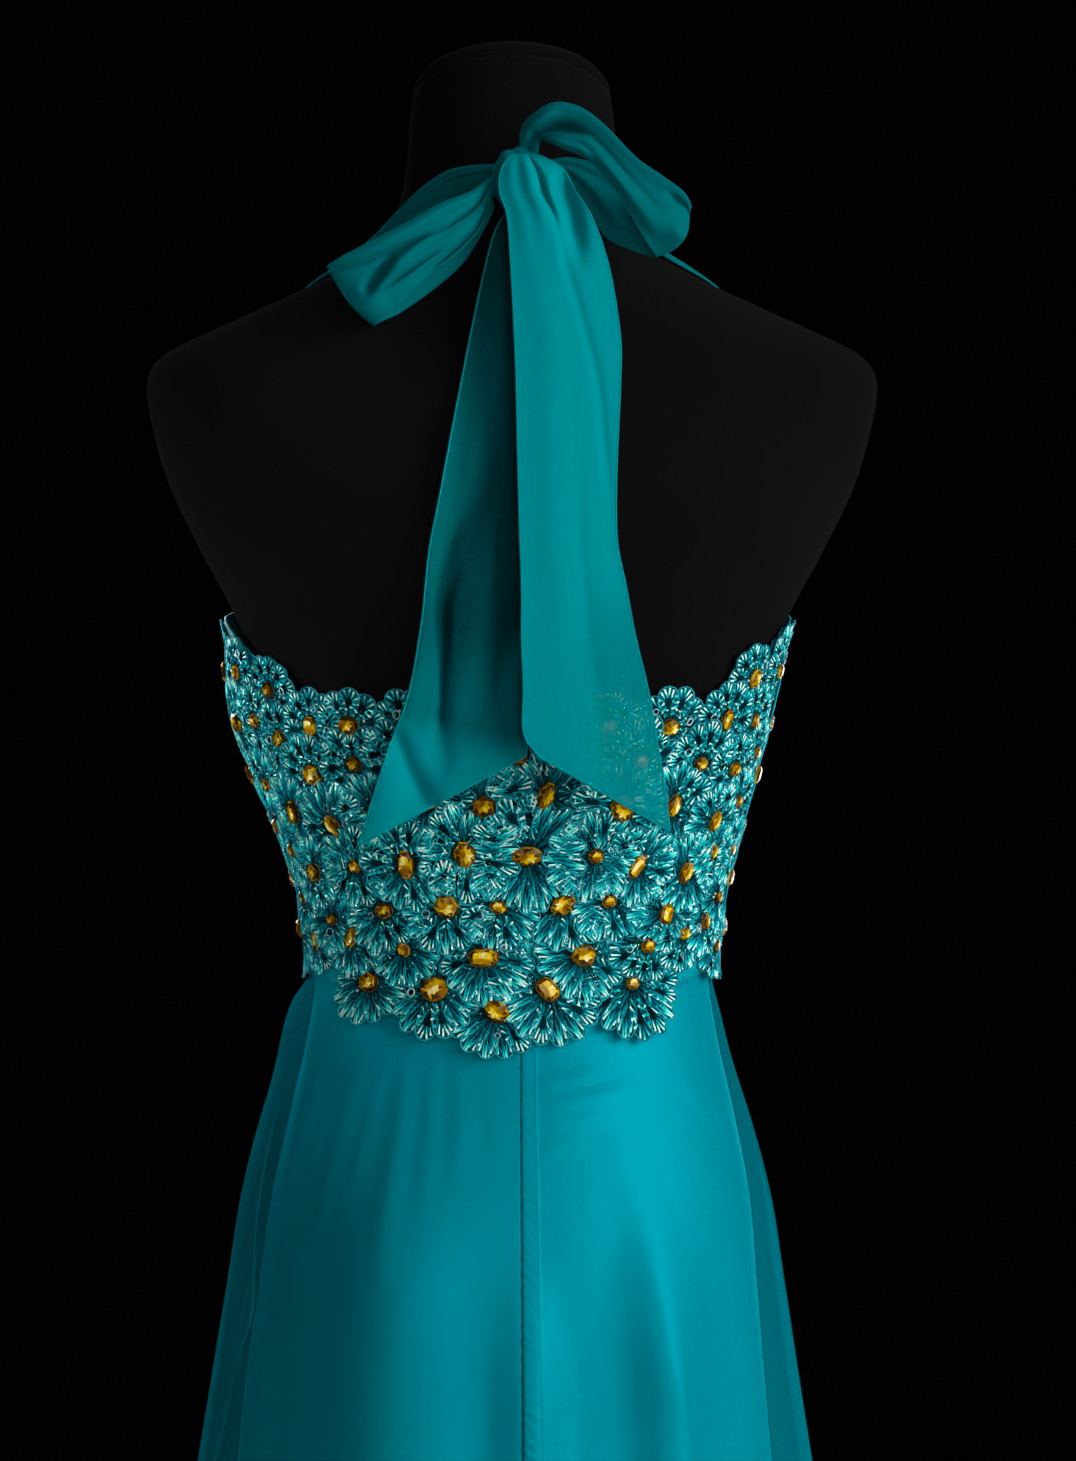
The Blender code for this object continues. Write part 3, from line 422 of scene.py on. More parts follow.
# Ribbons of the bow, in millimetres from the knot: across and up at the one edge, across and up
# at the other edge, and the distance out from the back
LEFT_LOOP = (
    (-14, 2, -14, -7, 4),
    (-26, -8, -20, -27, 12),
    (-43, -16, -31, -40, 20),
    (-61, -27, -47, -53, 25),
    (-79, -37, -61, -67, 27),
    (-97, -46, -73, -78, 26),
    (-104, -50, -78, -82, 20),
    (-97, -47, -75, -79, 13),
    (-80, -38, -65, -74, 9),
    (-62, -29, -48, -62, 6),
    (-43, -20, -31, -47, 4),
    (-26, -14, -20, -30, 1),
    (-15, -8, -13, -15, -2),
)
RIGHT_LOOP = (
    (1, 14, 10, 9, -5),
    (1, 26, 12, 21, 1),
    (6, 33, 17, 19, 8),
    (19, 40, 24, 15, 13),
    (34, 37, 34, 11, 16),
    (48, 26, 43, 4, 19),
    (64, 9, 52, -7, 22),
    (78, -1, 60, -21, 23),
    (90, -10, 69, -36, 22),
    (94, -17, 74, -43, 15),
    (90, -15, 73, -43, 8),
    (77, -6, 61, -39, 5),
    (62, 1, 47, -31, 2),
    (45, 8, 36, -11, 1),
    (28, 12, 24, 2, 2),
    (15, 10, 14.4, 2, 3),
)
RIGHT_TAIL = (
    (0, 14, 8, 14, 5),
    (-6, 9.5, 15, 10, 12),
    (-10, 1, 25, 3, 15.5),
    (-10, -10, 32, -10, 17),
    (-6, -23, 40, -23, 19),
    (-4, -50, 49, -50, 22),
    (-2, -88, 55, -88, 29),
    (-1, -115, 55, -115, 34),
    (0, -160, 53, -160, 40),
    (1, -198, 53, -198, 43),
    (2, -225, 58, -225, 44),
    (2, -252, 63, -252, 45),
    (3, -280, 71, -286, 45),
    (3, -303, 79, -336, 45),
    (11, -316, 81.5, -356, 45),
)
LEFT_TAIL = (
    (-7, -18, 4, -18, 0),
    (-12, -27, 3, -27, 4),
    (-16, -40, 4, -40, 8),
    (-22, -67, 5, -67, 12),
    (-28, -97, 7, -97, 17),
    (-35, -135, 7, -135, 25),
    (-42, -174, 8, -174, 31),
    (-48, -206, 9, -206, 34),
    (-52, -245, 9, -245, 37),
    (-59, -283, 8, -280, 38),
    (-69, -310, 6, -299, 38),
    (-86, -364, 4, -316, 38),
)

# Creases of the ribbons: row of the table and share across at each end, half width as a share of
# the ribbon's width, and how far it stands out in millimetres
LEFT_LOOP_CREASES = (
    (0.4, 0.16, 4.6, 0.10, 0.120, 3.4),
    (2.2, 0.46, 5.9, 0.03, 0.045, -5.5),
    (0.3, 0.42, 2.4, 0.46, 0.050, -5.5),
    (1.8, 0.43, 4.1, 0.53, 0.080, 4.2),
    (3.8, 0.40, 4.9, 0.58, 0.085, -8.5),
    (2.4, 0.78, 4.3, 0.68, 0.050, -5.0),
    (0.5, 0.84, 3.2, 0.96, 0.070, -7.5),
    (4.6, 0.82, 5.8, 0.80, 0.150, 3.2),
    (8.0, 0.30, 11.6, 0.35, 0.120, -2.6),
    (7.5, 0.70, 11.6, 0.62, 0.100, 2.0),
)
RIGHT_LOOP_CREASES = (
    (1.1, 0.60, 3.9, 0.50, 0.120, -12.5),
    (1.8, 0.92, 4.6, 0.90, 0.080, 4.6),
    (0.8, 0.30, 3.0, 0.22, 0.130, 3.4),
    (3.4, 0.46, 8.0, 0.55, 0.100, -2.2),
    (4.8, 0.82, 8.0, 0.80, 0.100, 2.4),
    (7.6, 0.20, 9.0, 0.12, 0.070, -5.0),
    (8.2, 0.62, 9.4, 0.50, 0.120, 2.6),
    (10.5, 0.30, 14.5, 0.40, 0.120, -3.0),
    (10.2, 0.70, 14.2, 0.64, 0.100, 2.4),
)
RIGHT_TAIL_CREASES = (
    (0.8, 0.44, 4.6, 0.42, 0.110, 2.6),
    (0.8, 0.60, 4.8, 0.55, 0.045, -4.2),
    (4.8, 0.55, 8.4, 0.94, 0.050, -1.3),
    (2.2, 0.94, 4.8, 0.70, 0.110, -9.0),
    (2.4, 0.70, 5.0, 0.50, 0.060, 2.4),
    (1.0, 0.16, 5.0, 0.18, 0.100, 1.2),
    (4.0, 0.30, 12.0, 0.36, 0.160, 1.2),
    (8.0, 0.62, 12.8, 0.58, 0.070, -0.7),
)
LEFT_TAIL_CREASES = (
    (4.6, -0.02, 9.4, 0.03, 0.105, 7.0),
    (5.0, 0.52, 7.8, 0.17, 0.085, -4.6),
    (7.6, 0.17, 9.7, 0.33, 0.050, -5.5),
    (9.3, 0.27, 10.6, 0.46, 0.070, -3.6),
    (5.6, 0.66, 9.2, 0.40, 0.120, 3.0),
    (6.8, 0.90, 9.4, 0.66, 0.090, -4.0),
    (9.9, -0.04, 11.2, 0.20, 0.170, 5.0),
    (9.8, 0.00, 11.1, 0.48, 0.060, -7.0),
)
# Where the folded left edge of that tail ends, left of which its painted shade is lighter: row, share across,
# and how softly
LEFT_TAIL_FOLD = (
    (2.0, 0.62, 0.20),
    (5.6, 0.46, 0.16),
    (6.8, 0.19, 0.08),
    (7.7, 0.10, 0.03),
    (8.3, 0.16, 0.02),
    (9.3, 0.28, 0.02),
    (10.0, 0.32, 0.05),
    (12.0, 0.30, 0.20),
)

# Halter straps, from the cup to the knot: angle and height of the middle line, half the width as
# an angle and as a height, and how far it stands off the form
STRAP = (
    (146.0, 1.290, 12.0, 0.000, 0.0007),
    (147.5, 1.312, 11.0, 0.000, 0.0007),
    (150.0, 1.345, 9.0, 0.001, 0.0008),
    (152.0, 1.376, 8.0, 0.002, 0.0009),
    (149.0, 1.402, 8.0, 0.004, 0.0010),
    (141.0, 1.423, 8.0, 0.007, 0.0012),
    (126.0, 1.440, 7.0, 0.010, 0.0016),
    (105.0, 1.453, 4.0, 0.012, 0.0018),
    (80.0, 1.463, 0.0, 0.0125, 0.0020),
    (57.0, 1.479, 0.0, 0.0120, 0.0034),
    (34.0, 1.4925, 0.0, 0.0105, 0.0085),
    (20.0, 1.4965, 0.0, 0.0085, 0.0165),
    (8.8, 1.4970, 0.0, 0.0070, 0.0270),
)
STRAP_GATHERS = (0.07, 0.21, 0.33, 0.46, 0.58, 0.73, 0.88)

# Linear colours
FORM_BLACK = (0.0036, 0.0036, 0.0037)
STEEL_GREY = (0.10, 0.10, 0.105)
SATIN_TEAL = (0.0, 0.440, 0.560)
CHIFFON_TEAL = (0.0, 0.260, 0.330)
TIE_TEAL = (0.0, 0.250, 0.280)
GROUND_TEAL = (0.0, 0.290, 0.360)
CORD_TEAL = (0.0, 0.300, 0.380)
TEAL_GLEAM = (0.0, 0.80, 1.00, 1.0)


# The body and the cloth on it


def smooth(table, column, at):
    """A column of a table at this value of its first column, on a smooth curve through the rows."""
    rows = sorted(table)
    at = min(max(at, rows[0][0]), rows[-1][0])
    i = max(k for k in range(len(rows) - 1) if rows[k][0] <= at)
    x0, x1 = rows[i][0], rows[i + 1][0]
    y0, y1 = rows[i][column], rows[i + 1][column]

    def slope(k):
        low, high = max(k - 1, 0), min(k + 1, len(rows) - 1)
        return (rows[high][column] - rows[low][column]) / (rows[high][0] - rows[low][0])

    span = x1 - x0
    t = (at - x0) / span
    m0, m1 = slope(i) * span, slope(i + 1) * span
    return (
        (2 * t**3 - 3 * t**2 + 1) * y0
        + (t**3 - 2 * t**2 + t) * m0
        + (3 * t**2 - 2 * t**3) * y1
        + (t**3 - t**2) * m1
    )


def eased(value, start, end):
    """0 at start, 1 at end, and a smooth step between them."""
    t = min(max((value - start) / (end - start), 0.0), 1.0)
    return t * t * (3 - 2 * t)


def turn_between(angle, other):
    """The angle from other to angle, from -180 to 180 degrees."""
    return (angle - other + 180) % 360 - 180


def oval_point(angle, height, half_width, back, front):
    """A point of the ring of this size at this angle from the centre back."""
    power = 2 / smooth(FORM_SECTIONS, 4, height)
    side, along = math.sin(angle * DEGREE), math.cos(angle * DEGREE)
    depth = back if along > 0 else front
    x = math.copysign(abs(side) ** power, side) * half_width
    y = -math.copysign(abs(along) ** power, along) * depth
    return Vector((x, y, height))


def swelling(row, angle, height):
    """How far the rounded form of this row stands out here."""
    middle, level, wide, tall, depth = row
    return depth * math.exp(-((turn_between(angle, middle) / wide) ** 2) - ((height - level) / tall) ** 2)


def figure_depth(angle, height):
    """How far the bust, shoulder blades and seat stand out of the plain sections."""
    return sum(swelling(row, angle, height) for row in FIGURE)


def body_size(angle, height, offset):
    extra = offset + figure_depth(angle, height)
    return [smooth(FORM_SECTIONS, column, height) + extra for column in (1, 2, 3)]


def body_point(angle, height, offset):
    """A point this far outside the figure."""
    return oval_point(angle, height, *body_size(angle, height, offset))


def bell(aside):
    """1 in the middle, and smoothly less on both sides."""
    return math.exp(-(aside ** 2))


def fold_depth(folds, angle, height, hem):
    """Hanging folds: each is a soft ridge that deepens from where it starts down to the hem."""
    depth = 0.0
    for middle, wide, deepest, start in folds:
        grown = min(max((start - height) / (start - hem), 0.0), 1.0)
        depth += deepest * grown * bell(turn_between(angle, middle) / wide)
    return depth


def satin_size(angle, height, offset):
    extra = offset + fold_depth(SATIN_FOLDS, angle, height, SATIN_HEM)
    sizes = [smooth(SATIN_SECTIONS, column, height) + extra for column in (1, 2, 3)]
    least = body_size(angle, max(height, FORM_BOTTOM), offset + UNDER_SATIN)
    return [max(size, small) for size, small in zip(sizes, least)]


def chiffon_size(angle, height, offset):
    at_side, at_centre = [smooth(CHIFFON_SECTIONS, column, height) for column in (1, 2)]
    sideways = math.sin(angle * DEGREE)
    gap = at_centre + (at_side - at_centre) * sideways ** 2
    gap -= LEAN * sideways * eased(height, 1.050, 0.985) * eased(height, 0.1, 0.7)
    gap += fold_depth(CHIFFON_FOLDS, angle, height, CHIFFON_HEM)
    return satin_size(angle, height, SATIN + gap + offset)


def bodice_point(angle, height, lift):
    """A point of the bodice: over the form above the waist, and over both skirts below it."""
    beside_strap = abs(abs(turn_between(angle, 0)) - STRAP[0][0])
    room = STRAP_ROOM * (1 - eased(beside_strap, 13, 24)) * eased(height, 1.236, 1.266)
    room += swelling(GAPING, angle, height)
    on_form = body_size(angle, height, ON_FORM + room + lift)
    if height > OVER_SKIRTS:
        return oval_point(angle, height, *on_form)
    over_skirt = chiffon_size(angle, height, CHIFFON + LAYER_GAP + lift)
    share = eased(height, OVER_SKIRTS, SKIRT_TOP + 0.002)
    mixed = [max(a, a + (b - a) * share) for a, b in zip(on_form, over_skirt)]
    return oval_point(angle, height, *mixed)


def draped(drapes, angle, height):
    """The height of these soft folds here, outwards."""
    rise = 0.0
    for a0, a1, left, right, deep, start, full in drapes:
        aside = turn_between(angle, a0 + (a1 - a0) * (SKIRT_TOP - height) / SKIRT_TOP)
        rise += deep * eased(height, start, full) * bell(aside / (left if aside < 0 else right))
    return rise


def pleated(angle, height):
    """How far the pleats turn the sheer cloth back on itself here, and how far they lift it."""
    turned = lifted = 0.0
    for a0, z0, a1, z1, wide in PLEATS:
        share = (z0 - height) / (z0 - z1)
        aside = turn_between(angle, a0 + (a1 - a0) * share) / wide
        if 0 < share < 1 and abs(aside) < 3:
            grown = eased(share, 0, 0.25) * eased(share, 1, 0.7)
            turned -= PLEAT_TURN * wide * aside * bell(aside) * grown
            lifted += PLEAT_GAP * (1 - math.tanh(1.6 * aside)) * bell(aside / 2) * grown
    return turned, lifted


def small_creases(angle, height):
    rise = 0.0
    for a0, z0, a1, z1, wide, high in SKIRT_CREASES:
        if abs(turn_between(angle, (a0 + a1) / 2)) > 40:
            continue
        along = Vector((turn_between(a1, a0) * ROUND_A_DEGREE, z1 - z0))
        place = Vector((turn_between(angle, a0) * ROUND_A_DEGREE, height - z0))
        share = place.dot(along) / along.length_squared
        across = abs(place.x * along.y - place.y * along.x) / along.length
        ends = eased(share, -0.1, 0.25) * eased(share, 1.15, 0.55)
        rise += high * ends * bell(across / wide)
    return rise


def skirt_relief(angle, height):
    """The creases and soft folds that show in both skirts, and their centre back seam, outwards."""
    rise = small_creases(angle, height) + draped(SKIRT_DRAPES, angle, height)
    aside = turn_between(angle, CENTRE_BACK_SEAM) * ROUND_A_DEGREE
    if abs(aside) < SEAM_REACH:
        allowance = eased(aside, -ALLOWANCE_EDGE, 0.0010)
        allowance *= eased(aside, ALLOWANCE + ALLOWANCE_EDGE, ALLOWANCE)
        wave = math.sin(2 * math.pi * (height + 1.2 * aside) / PUCKER_PERIOD + 1.5 * math.sin(21 * height))
        pucker = PUCKER_RISE * (0.5 + 0.5 * wave) * bell((aside - PUCKER_MIDDLE) / PUCKER_HALF_WIDTH)
        groove = SEAM_GROOVE * bell(aside / GROOVE_HALF_WIDTH)
        rise += (ALLOWANCE_RISE * allowance + pucker - groove) * eased(height, 1.05, 1.02)
    return max(rise, -0.0004) * eased(height, 1.036, 1.012)


# Meshes


def new_object(name, mesh):
    made = bpy.data.objects.new(name, mesh)
    bpy.context.scene.collection.objects.link(made)
    return made


def mesh_of(name, points, faces, shade_smooth=True):
    mesh = bpy.data.meshes.new(name)
    mesh.from_pydata(points, [], faces)
    mesh.update()
    if shade_smooth:
        mesh.shade_smooth()
    return mesh


def grid_faces(rows, columns):
    return [
        (r * columns + c, r * columns + c + 1, (r + 1) * columns + c + 1, (r + 1) * columns + c)
        for r in range(rows - 1)
        for c in range(columns - 1)
    ]


def ring_faces(rings, around, start=0):
    """Faces between rings of points, listed from the bottom up."""
    faces = []
    for low in range(start, start + (rings - 1) * around, around):
        high = low + around
        for c in range(around):
            after = (c + 1) % around
            faces.append((low + c, low + after, high + after, high + c))
    return faces


def grid_mesh(name, rows):
    """A sheet through rows of points, with its UV map in metres of cloth from its first corner."""
    mesh = mesh_of(name, [p for row in rows for p in row], grid_faces(len(rows), len(rows[0])))
    layer = mesh.uv_layers.new(name="weave")
    corners = np.zeros(len(mesh.loops), np.int32)
    mesh.loops.foreach_get("vertex_index", corners)
    layer.data.foreach_set("uv", cloth_places(rows)[corners].astype(np.float32).ravel())
    return mesh


def cloth_places(rows):
    """How far along and across the cloth each point of the rows lies, in metres."""
    grid = np.array([[tuple(p) for p in row] for row in rows])
    across = np.linalg.norm(np.diff(grid, axis=1), axis=2)
    along = np.linalg.norm(np.diff(grid, axis=0), axis=2)
    u = np.concatenate([np.zeros((len(rows), 1)), np.cumsum(across, axis=1)], axis=1)
    u -= u[:, -1:] / 2
    v = np.concatenate([[0.0], np.cumsum(along.mean(axis=1))])
    v = np.repeat(v[:, None], grid.shape[1], axis=1)
    return np.stack([u, v], axis=2).reshape(-1, 2)


def wall(thing, thickness, offset):
    """Gives a sheet its thickness, and keeps the result as a plain mesh."""
    solid = thing.modifiers.new("thickness", "SOLIDIFY")
    solid.thickness, solid.offset = thickness, offset
    solid.use_quality_normals = True
    return made_plain(thing)


def store(mesh, name, numbers, kind="FLOAT"):
    """Stores numbers on the points of a mesh, for its finish or a tree to read."""
    made = mesh.attributes.new(name, kind, "POINT")
    made.data.foreach_set("vector" if kind == "FLOAT_VECTOR" else "value", numbers)


def piece(name, mesh, finish):
    made = new_object(name, mesh)
    made.data.materials.append(finish)
    return made


def sheet(node, name, rows, finish, thickness, offset, **stored):
    """A walled sheet of cloth through rows of points, in place of a node."""
    made = piece(name, grid_mesh(name, rows), finish)
    for label, numbers in stored.items():
        store(made.data, label, numbers)
    wall(made, thickness, offset)
    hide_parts(node)
    return made


def made_plain(thing):
    """Applies the modifiers of a piece."""
    bpy.context.view_layer.update()
    graph = bpy.context.evaluated_depsgraph_get()
    seen = thing.evaluated_get(graph)
    plain = bpy.data.meshes.new_from_object(seen, preserve_all_data_layers=True, depsgraph=graph)
    plain.name = thing.name
    thing.modifiers.clear()
    thing.data = plain
    return thing


def loft(name, rings):
    """A closed surface through rings of points, listed from the bottom up."""
    around = len(rings[0])
    points = [p for ring in rings for p in ring]
    faces = ring_faces(len(rings), around)
    faces.append(tuple(reversed(range(around))))
    faces.append(tuple(range(len(points) - around, len(points))))
    return mesh_of(name, points, faces)


# Finishes


class Nodes:
    """A node tree being made: its nodes are added and linked by short calls."""

    def node(self, kind, values=None, **settings):
        made = self.tree.nodes.new(kind)
        for name, value in settings.items():
            setattr(made, name, value)
        for name, value in (values or {}).items():
            if isinstance(value, bpy.types.NodeSocket):
                self.tree.links.new(value, made.inputs[name])
            else:
                made.inputs[name].default_value = value
        return made

    def maths(self, operation, *values):
        return self.node("ShaderNodeMath", dict(enumerate(values)), operation=operation).outputs[0]


class Finish(Nodes):
    """A material being made."""

    def __init__(self, name, **values):
        self.material = bpy.data.materials.new(name)
        self.material.use_nodes = True
        self.tree = self.material.node_tree
        self.shader = self.tree.nodes["Principled BSDF"]
        for name, value in values.items():
            self.shader.inputs[name.replace("_", " ")].default_value = value

    def own_map(self, across, along):
        """The piece's own UV map, in metres of cloth times these scales."""
        uv = self.node("ShaderNodeUVMap", uv_map="weave").outputs["UV"]
        return self.node("ShaderNodeMapping", {"Vector": uv, "Scale": (across, along, 1.0)}).outputs["Vector"]

    def place(self, scale=(1.0, 1.0, 1.0)):
        """Object coordinates, in metres times this scale."""
        place = self.node("ShaderNodeTexCoord").outputs["Object"]
        return self.node("ShaderNodeMapping", {"Vector": place, "Scale": scale}).outputs["Vector"]

    def stored(self, name):
        return self.node("ShaderNodeAttribute", attribute_name=name).outputs["Fac"]

    def tone(self):
        """The tone that a small shape's map gives each of its faces."""
        uv = self.node("ShaderNodeUVMap", uv_map="weave").outputs[0]
        return self.node("ShaderNodeSeparateXYZ", {0: uv}).outputs["X"]

    def noise(self, vector, scale=1.0, detail=3.0, roughness=0.55):
        values = {"Vector": vector, "Scale": scale, "Detail": detail, "Roughness": roughness}
        return self.node("ShaderNodeTexNoise", values).outputs["Fac"]

    def slub(self, across, along, detail=2.0, roughness=0.55):
        """Noise that follows the cloth."""
        return self.noise(self.own_map(across, along), 1.0, detail, roughness)

    def grain(self, scale, detail=2.0, roughness=0.55):
        """Noise equally fine all ways."""
        return self.noise(self.place((scale, scale, scale)), 1.0, detail, roughness)

    def wave(self, vector, direction, distortion):
        values = {"Vector": vector, "Scale": 1.0, "Distortion": distortion}
        return self.node("ShaderNodeTexWave", values, bands_direction=direction).outputs["Fac"]

    def ramp(self, factor, *stops):
        made = self.node("ShaderNodeValToRGB", {"Fac": factor})
        while len(made.color_ramp.elements) < len(stops):
            made.color_ramp.elements.new(0.5)
        for element, (at, *colour) in zip(made.color_ramp.elements, stops):
            element.position = at
            element.color = (*colour, 1.0)
        return made.outputs["Color"]

    def range(self, value, low, high):
        """0 to 1 becomes low to high."""
        values = {"Value": value, "To Min": low, "To Max": high}
        return self.node("ShaderNodeMapRange", values).outputs["Result"]

    def mix(self, factor, first, second):
        return self.node("ShaderNodeMix", {0: factor, 6: first, 7: second}, data_type="RGBA").outputs[2]

    def between(self, factor, colour, low, high):
        """A colour that runs from low times to high times its strength."""
        return self.mix(factor, (*shade(colour, low), 1), (*shade(colour, high), 1))

    def to(self, **outputs):
        for name, output in outputs.items():
            self.tree.links.new(output, self.shader.inputs[name.replace("_", " ")])

    def bump(self, height, distance, strength=1.0):
        """Adds relief of this distance in metres, over any that is there."""
        made = self.node("ShaderNodeBump", {"Height": height, "Distance": distance, "Strength": strength})
        there = self.shader.inputs["Normal"]
        if there.is_linked:
            self.tree.links.new(there.links[0].from_socket, made.inputs["Normal"])
        self.tree.links.new(made.outputs["Normal"], there)


def shade(colour, times):
    return tuple(c * times for c in colour)


def jersey_finish():
    """Fine black jersey: matt, with vertical ribs of knit and a little lint."""
    made = Finish("black_jersey", Roughness=0.92, Sheen_Weight=0.010, Sheen_Roughness=0.6,
                  Specular_IOR_Level=0.0)
    place = made.place()
    tone = made.between(made.noise(place, 14.0), FORM_BLACK, 0.8, 1.5)
    lint = made.ramp(made.noise(place, 420.0, 1.0), (0.79, 0, 0, 0), (0.83, 1, 1, 1))
    made.to(Base_Color=made.mix(lint, tone, (*shade(FORM_BLACK, 5.0), 1)))
    made.bump(made.noise(made.place((900.0, 900.0, 260.0)), 1.0, 4.0, 0.7), 0.0004, 0.6)
    return made.material


def steel_finish():
    """Powder-coated steel of the pole and the base."""
    made = Finish("dark_steel", Metallic=0.7)
    place = made.place()
    tone = made.noise(place, 30.0)
    made.to(Base_Color=made.between(tone, STEEL_GREY, 0.7, 1.3), Roughness=made.range(tone, 0.34, 0.50))
    made.bump(made.noise(place, 1800.0, 2.0), 0.00012, 0.5)
    return made.material


def painted_seam_shade(made, tone, colour):
    """The tone of the cloth with a painted shade, nearly black, in the groove of the centre back seam."""
    return made.mix(made.stored("groove"), tone, (*shade(colour, 0.04), 1))


def puckered(made):
    """The small slanted puckers in the allowance of the centre back seam."""
    slanted = made.wave(made.own_map(60.0, 85.0), "DIAGONAL", 6.0)
    uneven = made.range(made.slub(30.0, 55.0, 1.0), -0.6, 1.6)
    relief = made.maths("MULTIPLY", made.maths("MULTIPLY", slanted, uneven), made.stored("pucker"))
    made.bump(relief, 0.00045)


def satin_finish():
    """Satin of the underskirt: a soft broad sheen, slightly slubbed along the warp."""
    made = Finish("teal_satin", Metallic=0.40, Specular_IOR_Level=0.0, Specular_Tint=TEAL_GLEAM,
                  Anisotropic=0.4)
    slub = made.slub(260.0, 9.0, 4.0, 0.6)
    tone = made.between(slub, SATIN_TEAL, 0.80, 1.20)
    tone = made.mix(made.slub(11.0, 4.0), tone, (*shade(SATIN_TEAL, 1.05), 1))
    # A painted shade darkens the groove of the centre back seam
    made.to(Base_Color=painted_seam_shade(made, tone, SATIN_TEAL), Roughness=made.range(slub, 0.46, 0.56))
    puckered(made)
    made.bump(made.slub(34.0, 6.0), 0.0016, 0.35)
    made.bump(slub, 0.00025, 0.35)
    made.bump(made.slub(2200.0, 500.0), 0.00006, 0.35)
    return made.material


def weave_relief(made, threads, distance, strength):
    """A plain weave of so many threads a metre."""
    warp, weft = [made.wave(made.own_map(threads, threads), way, 0.6) for way in "XY"]
    made.bump(made.maths("MULTIPLY", warp, weft), distance, strength)


def chiffon_finish(name, colour, alpha, slub_scale, layered_with_painted_shade=False):
    """Sheer crepe chiffon: matt, with a fine uneven weave and a painted shade in the seam's groove."""
    made = Finish(name, Alpha=alpha, Sheen_Weight=0.10, Sheen_Tint=TEAL_GLEAM, Sheen_Roughness=0.45,
                  Specular_IOR_Level=0.0)
    streak = made.slub(*slub_scale, 4.0, 0.6)
    crepe = made.slub(1500.0, 1500.0)
    tone = made.between(streak, colour, 0.84, 1.18)
    tone = made.mix(crepe, tone, (*shade(colour, 1.08), 1))
    if layered_with_painted_shade:
        made.to(Alpha=made.range(made.stored("layers"), 0.10, 1.0))
        # A painted shade: the stored depth darkens the colour towards black
        tone = made.mix(made.stored("depth"), tone, (0.0, 0.0, 0.0, 1))
    made.to(Base_Color=painted_seam_shade(made, tone, colour), Roughness=made.range(streak, 0.62, 0.74))
    puckered(made)
    weave_relief(made, 180.0, 0.00005, 0.3)
    made.bump(crepe, 0.00012, 0.3)
    return made.material


def ground_finish():
    """The dark embroidered ground that shows between the flowers."""
    made = Finish("applique_ground", Roughness=0.6, Specular_Tint=TEAL_GLEAM)
    threads = made.grain(700.0, 3.0, 0.7)
    dark, light = shade(GROUND_TEAL, 0.5), shade(GROUND_TEAL, 1.3)
    made.to(Base_Color=made.ramp(threads, (0.35, *dark), (0.52, *GROUND_TEAL), (0.72, *light)))
    made.bump(threads, 0.0006, 0.8)
    return made.material


def varied(made, chance, lower, depth, spread):
    """The tone of each face, shifted a little from copy to copy and by noise."""
    tone = made.maths("SUBTRACT", made.tone(), lower)
    tone = made.maths("MULTIPLY_ADD", made.stored("chance"), chance, tone)
    return made.maths("MULTIPLY_ADD", depth, spread, made.maths("SUBTRACT", tone, spread / 2))


def thread_finish():
    """Shaded embroidery thread: each stitch has its own tone, from deep teal by the stone to cream."""
    made = Finish("embroidery_thread", Specular_IOR_Level=0.0, Specular_Tint=TEAL_GLEAM, Metallic=0.08)
    fine = made.grain(650.0)
    made.to(Roughness=made.range(fine, 0.38, 0.58), Base_Color=made.ramp(
        varied(made, 0.14, 0.07, fine, 0.30),
        (0.00, 0.0, 0.008, 0.011),
        (0.16, 0.0, 0.030, 0.042),
        (0.34, 0.0, 0.095, 0.130),
        (0.52, 0.0, 0.180, 0.235),
        (0.68, 0.001, 0.310, 0.355),
        (0.84, 0.008, 0.580, 0.570),
        (0.97, 0.150, 0.900, 0.800),
        (1.10, 0.640, 1.000, 0.860),
    ))
    made.bump(made.grain(1700.0, 1.0), 0.0002, 0.4)
    return made.material


def cord_finish():
    """The fine bright teal cord that outlines each petal."""
    made = Finish("outline_cord", Roughness=0.45, Specular_IOR_Level=0.15)
    twist = made.grain(1300.0)
    tone = made.between(made.stored("chance"), CORD_TEAL, 0.55, 1.15)
    made.to(Base_Color=made.mix(twist, tone, (*shade(CORD_TEAL, 1.3), 1)))
    made.bump(twist, 0.0003, 0.6)
    return made.material


def stone_finish():
    """Amber glass on foil, cut in facets, with painted reflections: some facets painted bright as if they
    threw the light back, and some painted dark.
    """
    made = Finish("amber_glass", Roughness=0.14, Coat_Weight=0.04, Coat_Roughness=0.05,
                  Specular_IOR_Level=0.14)
    made.to(Base_Color=made.ramp(
        varied(made, 0.22, 0.13, made.grain(230.0, 1.0), 0.40),
        (0.02, 0.026, 0.010, 0.0003),
        (0.22, 0.090, 0.034, 0.0006),
        (0.42, 0.280, 0.120, 0.0010),
        (0.62, 0.520, 0.290, 0.0015),
        (0.82, 0.860, 0.580, 0.0050),
        # A near-white painted highlight, for the brightest facets
        (1.00, 1.000, 0.900, 0.4500),
    ))
    return made.material


def setting_finish():
    """Dull old gold of the settings."""
    made = Finish("old_gold", Metallic=0.8)
    worn = made.grain(900.0)
    tone = made.mix(worn, (0.05, 0.028, 0.004, 1), (0.22, 0.13, 0.02, 1))
    made.to(Base_Color=tone, Roughness=made.range(worn, 0.3, 0.5))
    return made.material


def bead_finish():
    """Seed beads of glass in deep teal, turquoise and silver."""
    made = Finish("seed_bead_glass", Roughness=0.12, Coat_Weight=0.6, Metallic=0.25)
    made.to(Base_Color=made.ramp(
        made.stored("chance"),
        (0.00, 0.0, 0.045, 0.060),
        (0.45, 0.0, 0.180, 0.240),
        (0.75, 0.05, 0.420, 0.480),
        (1.00, 0.75, 0.860, 0.880),
    ))
    return made.material


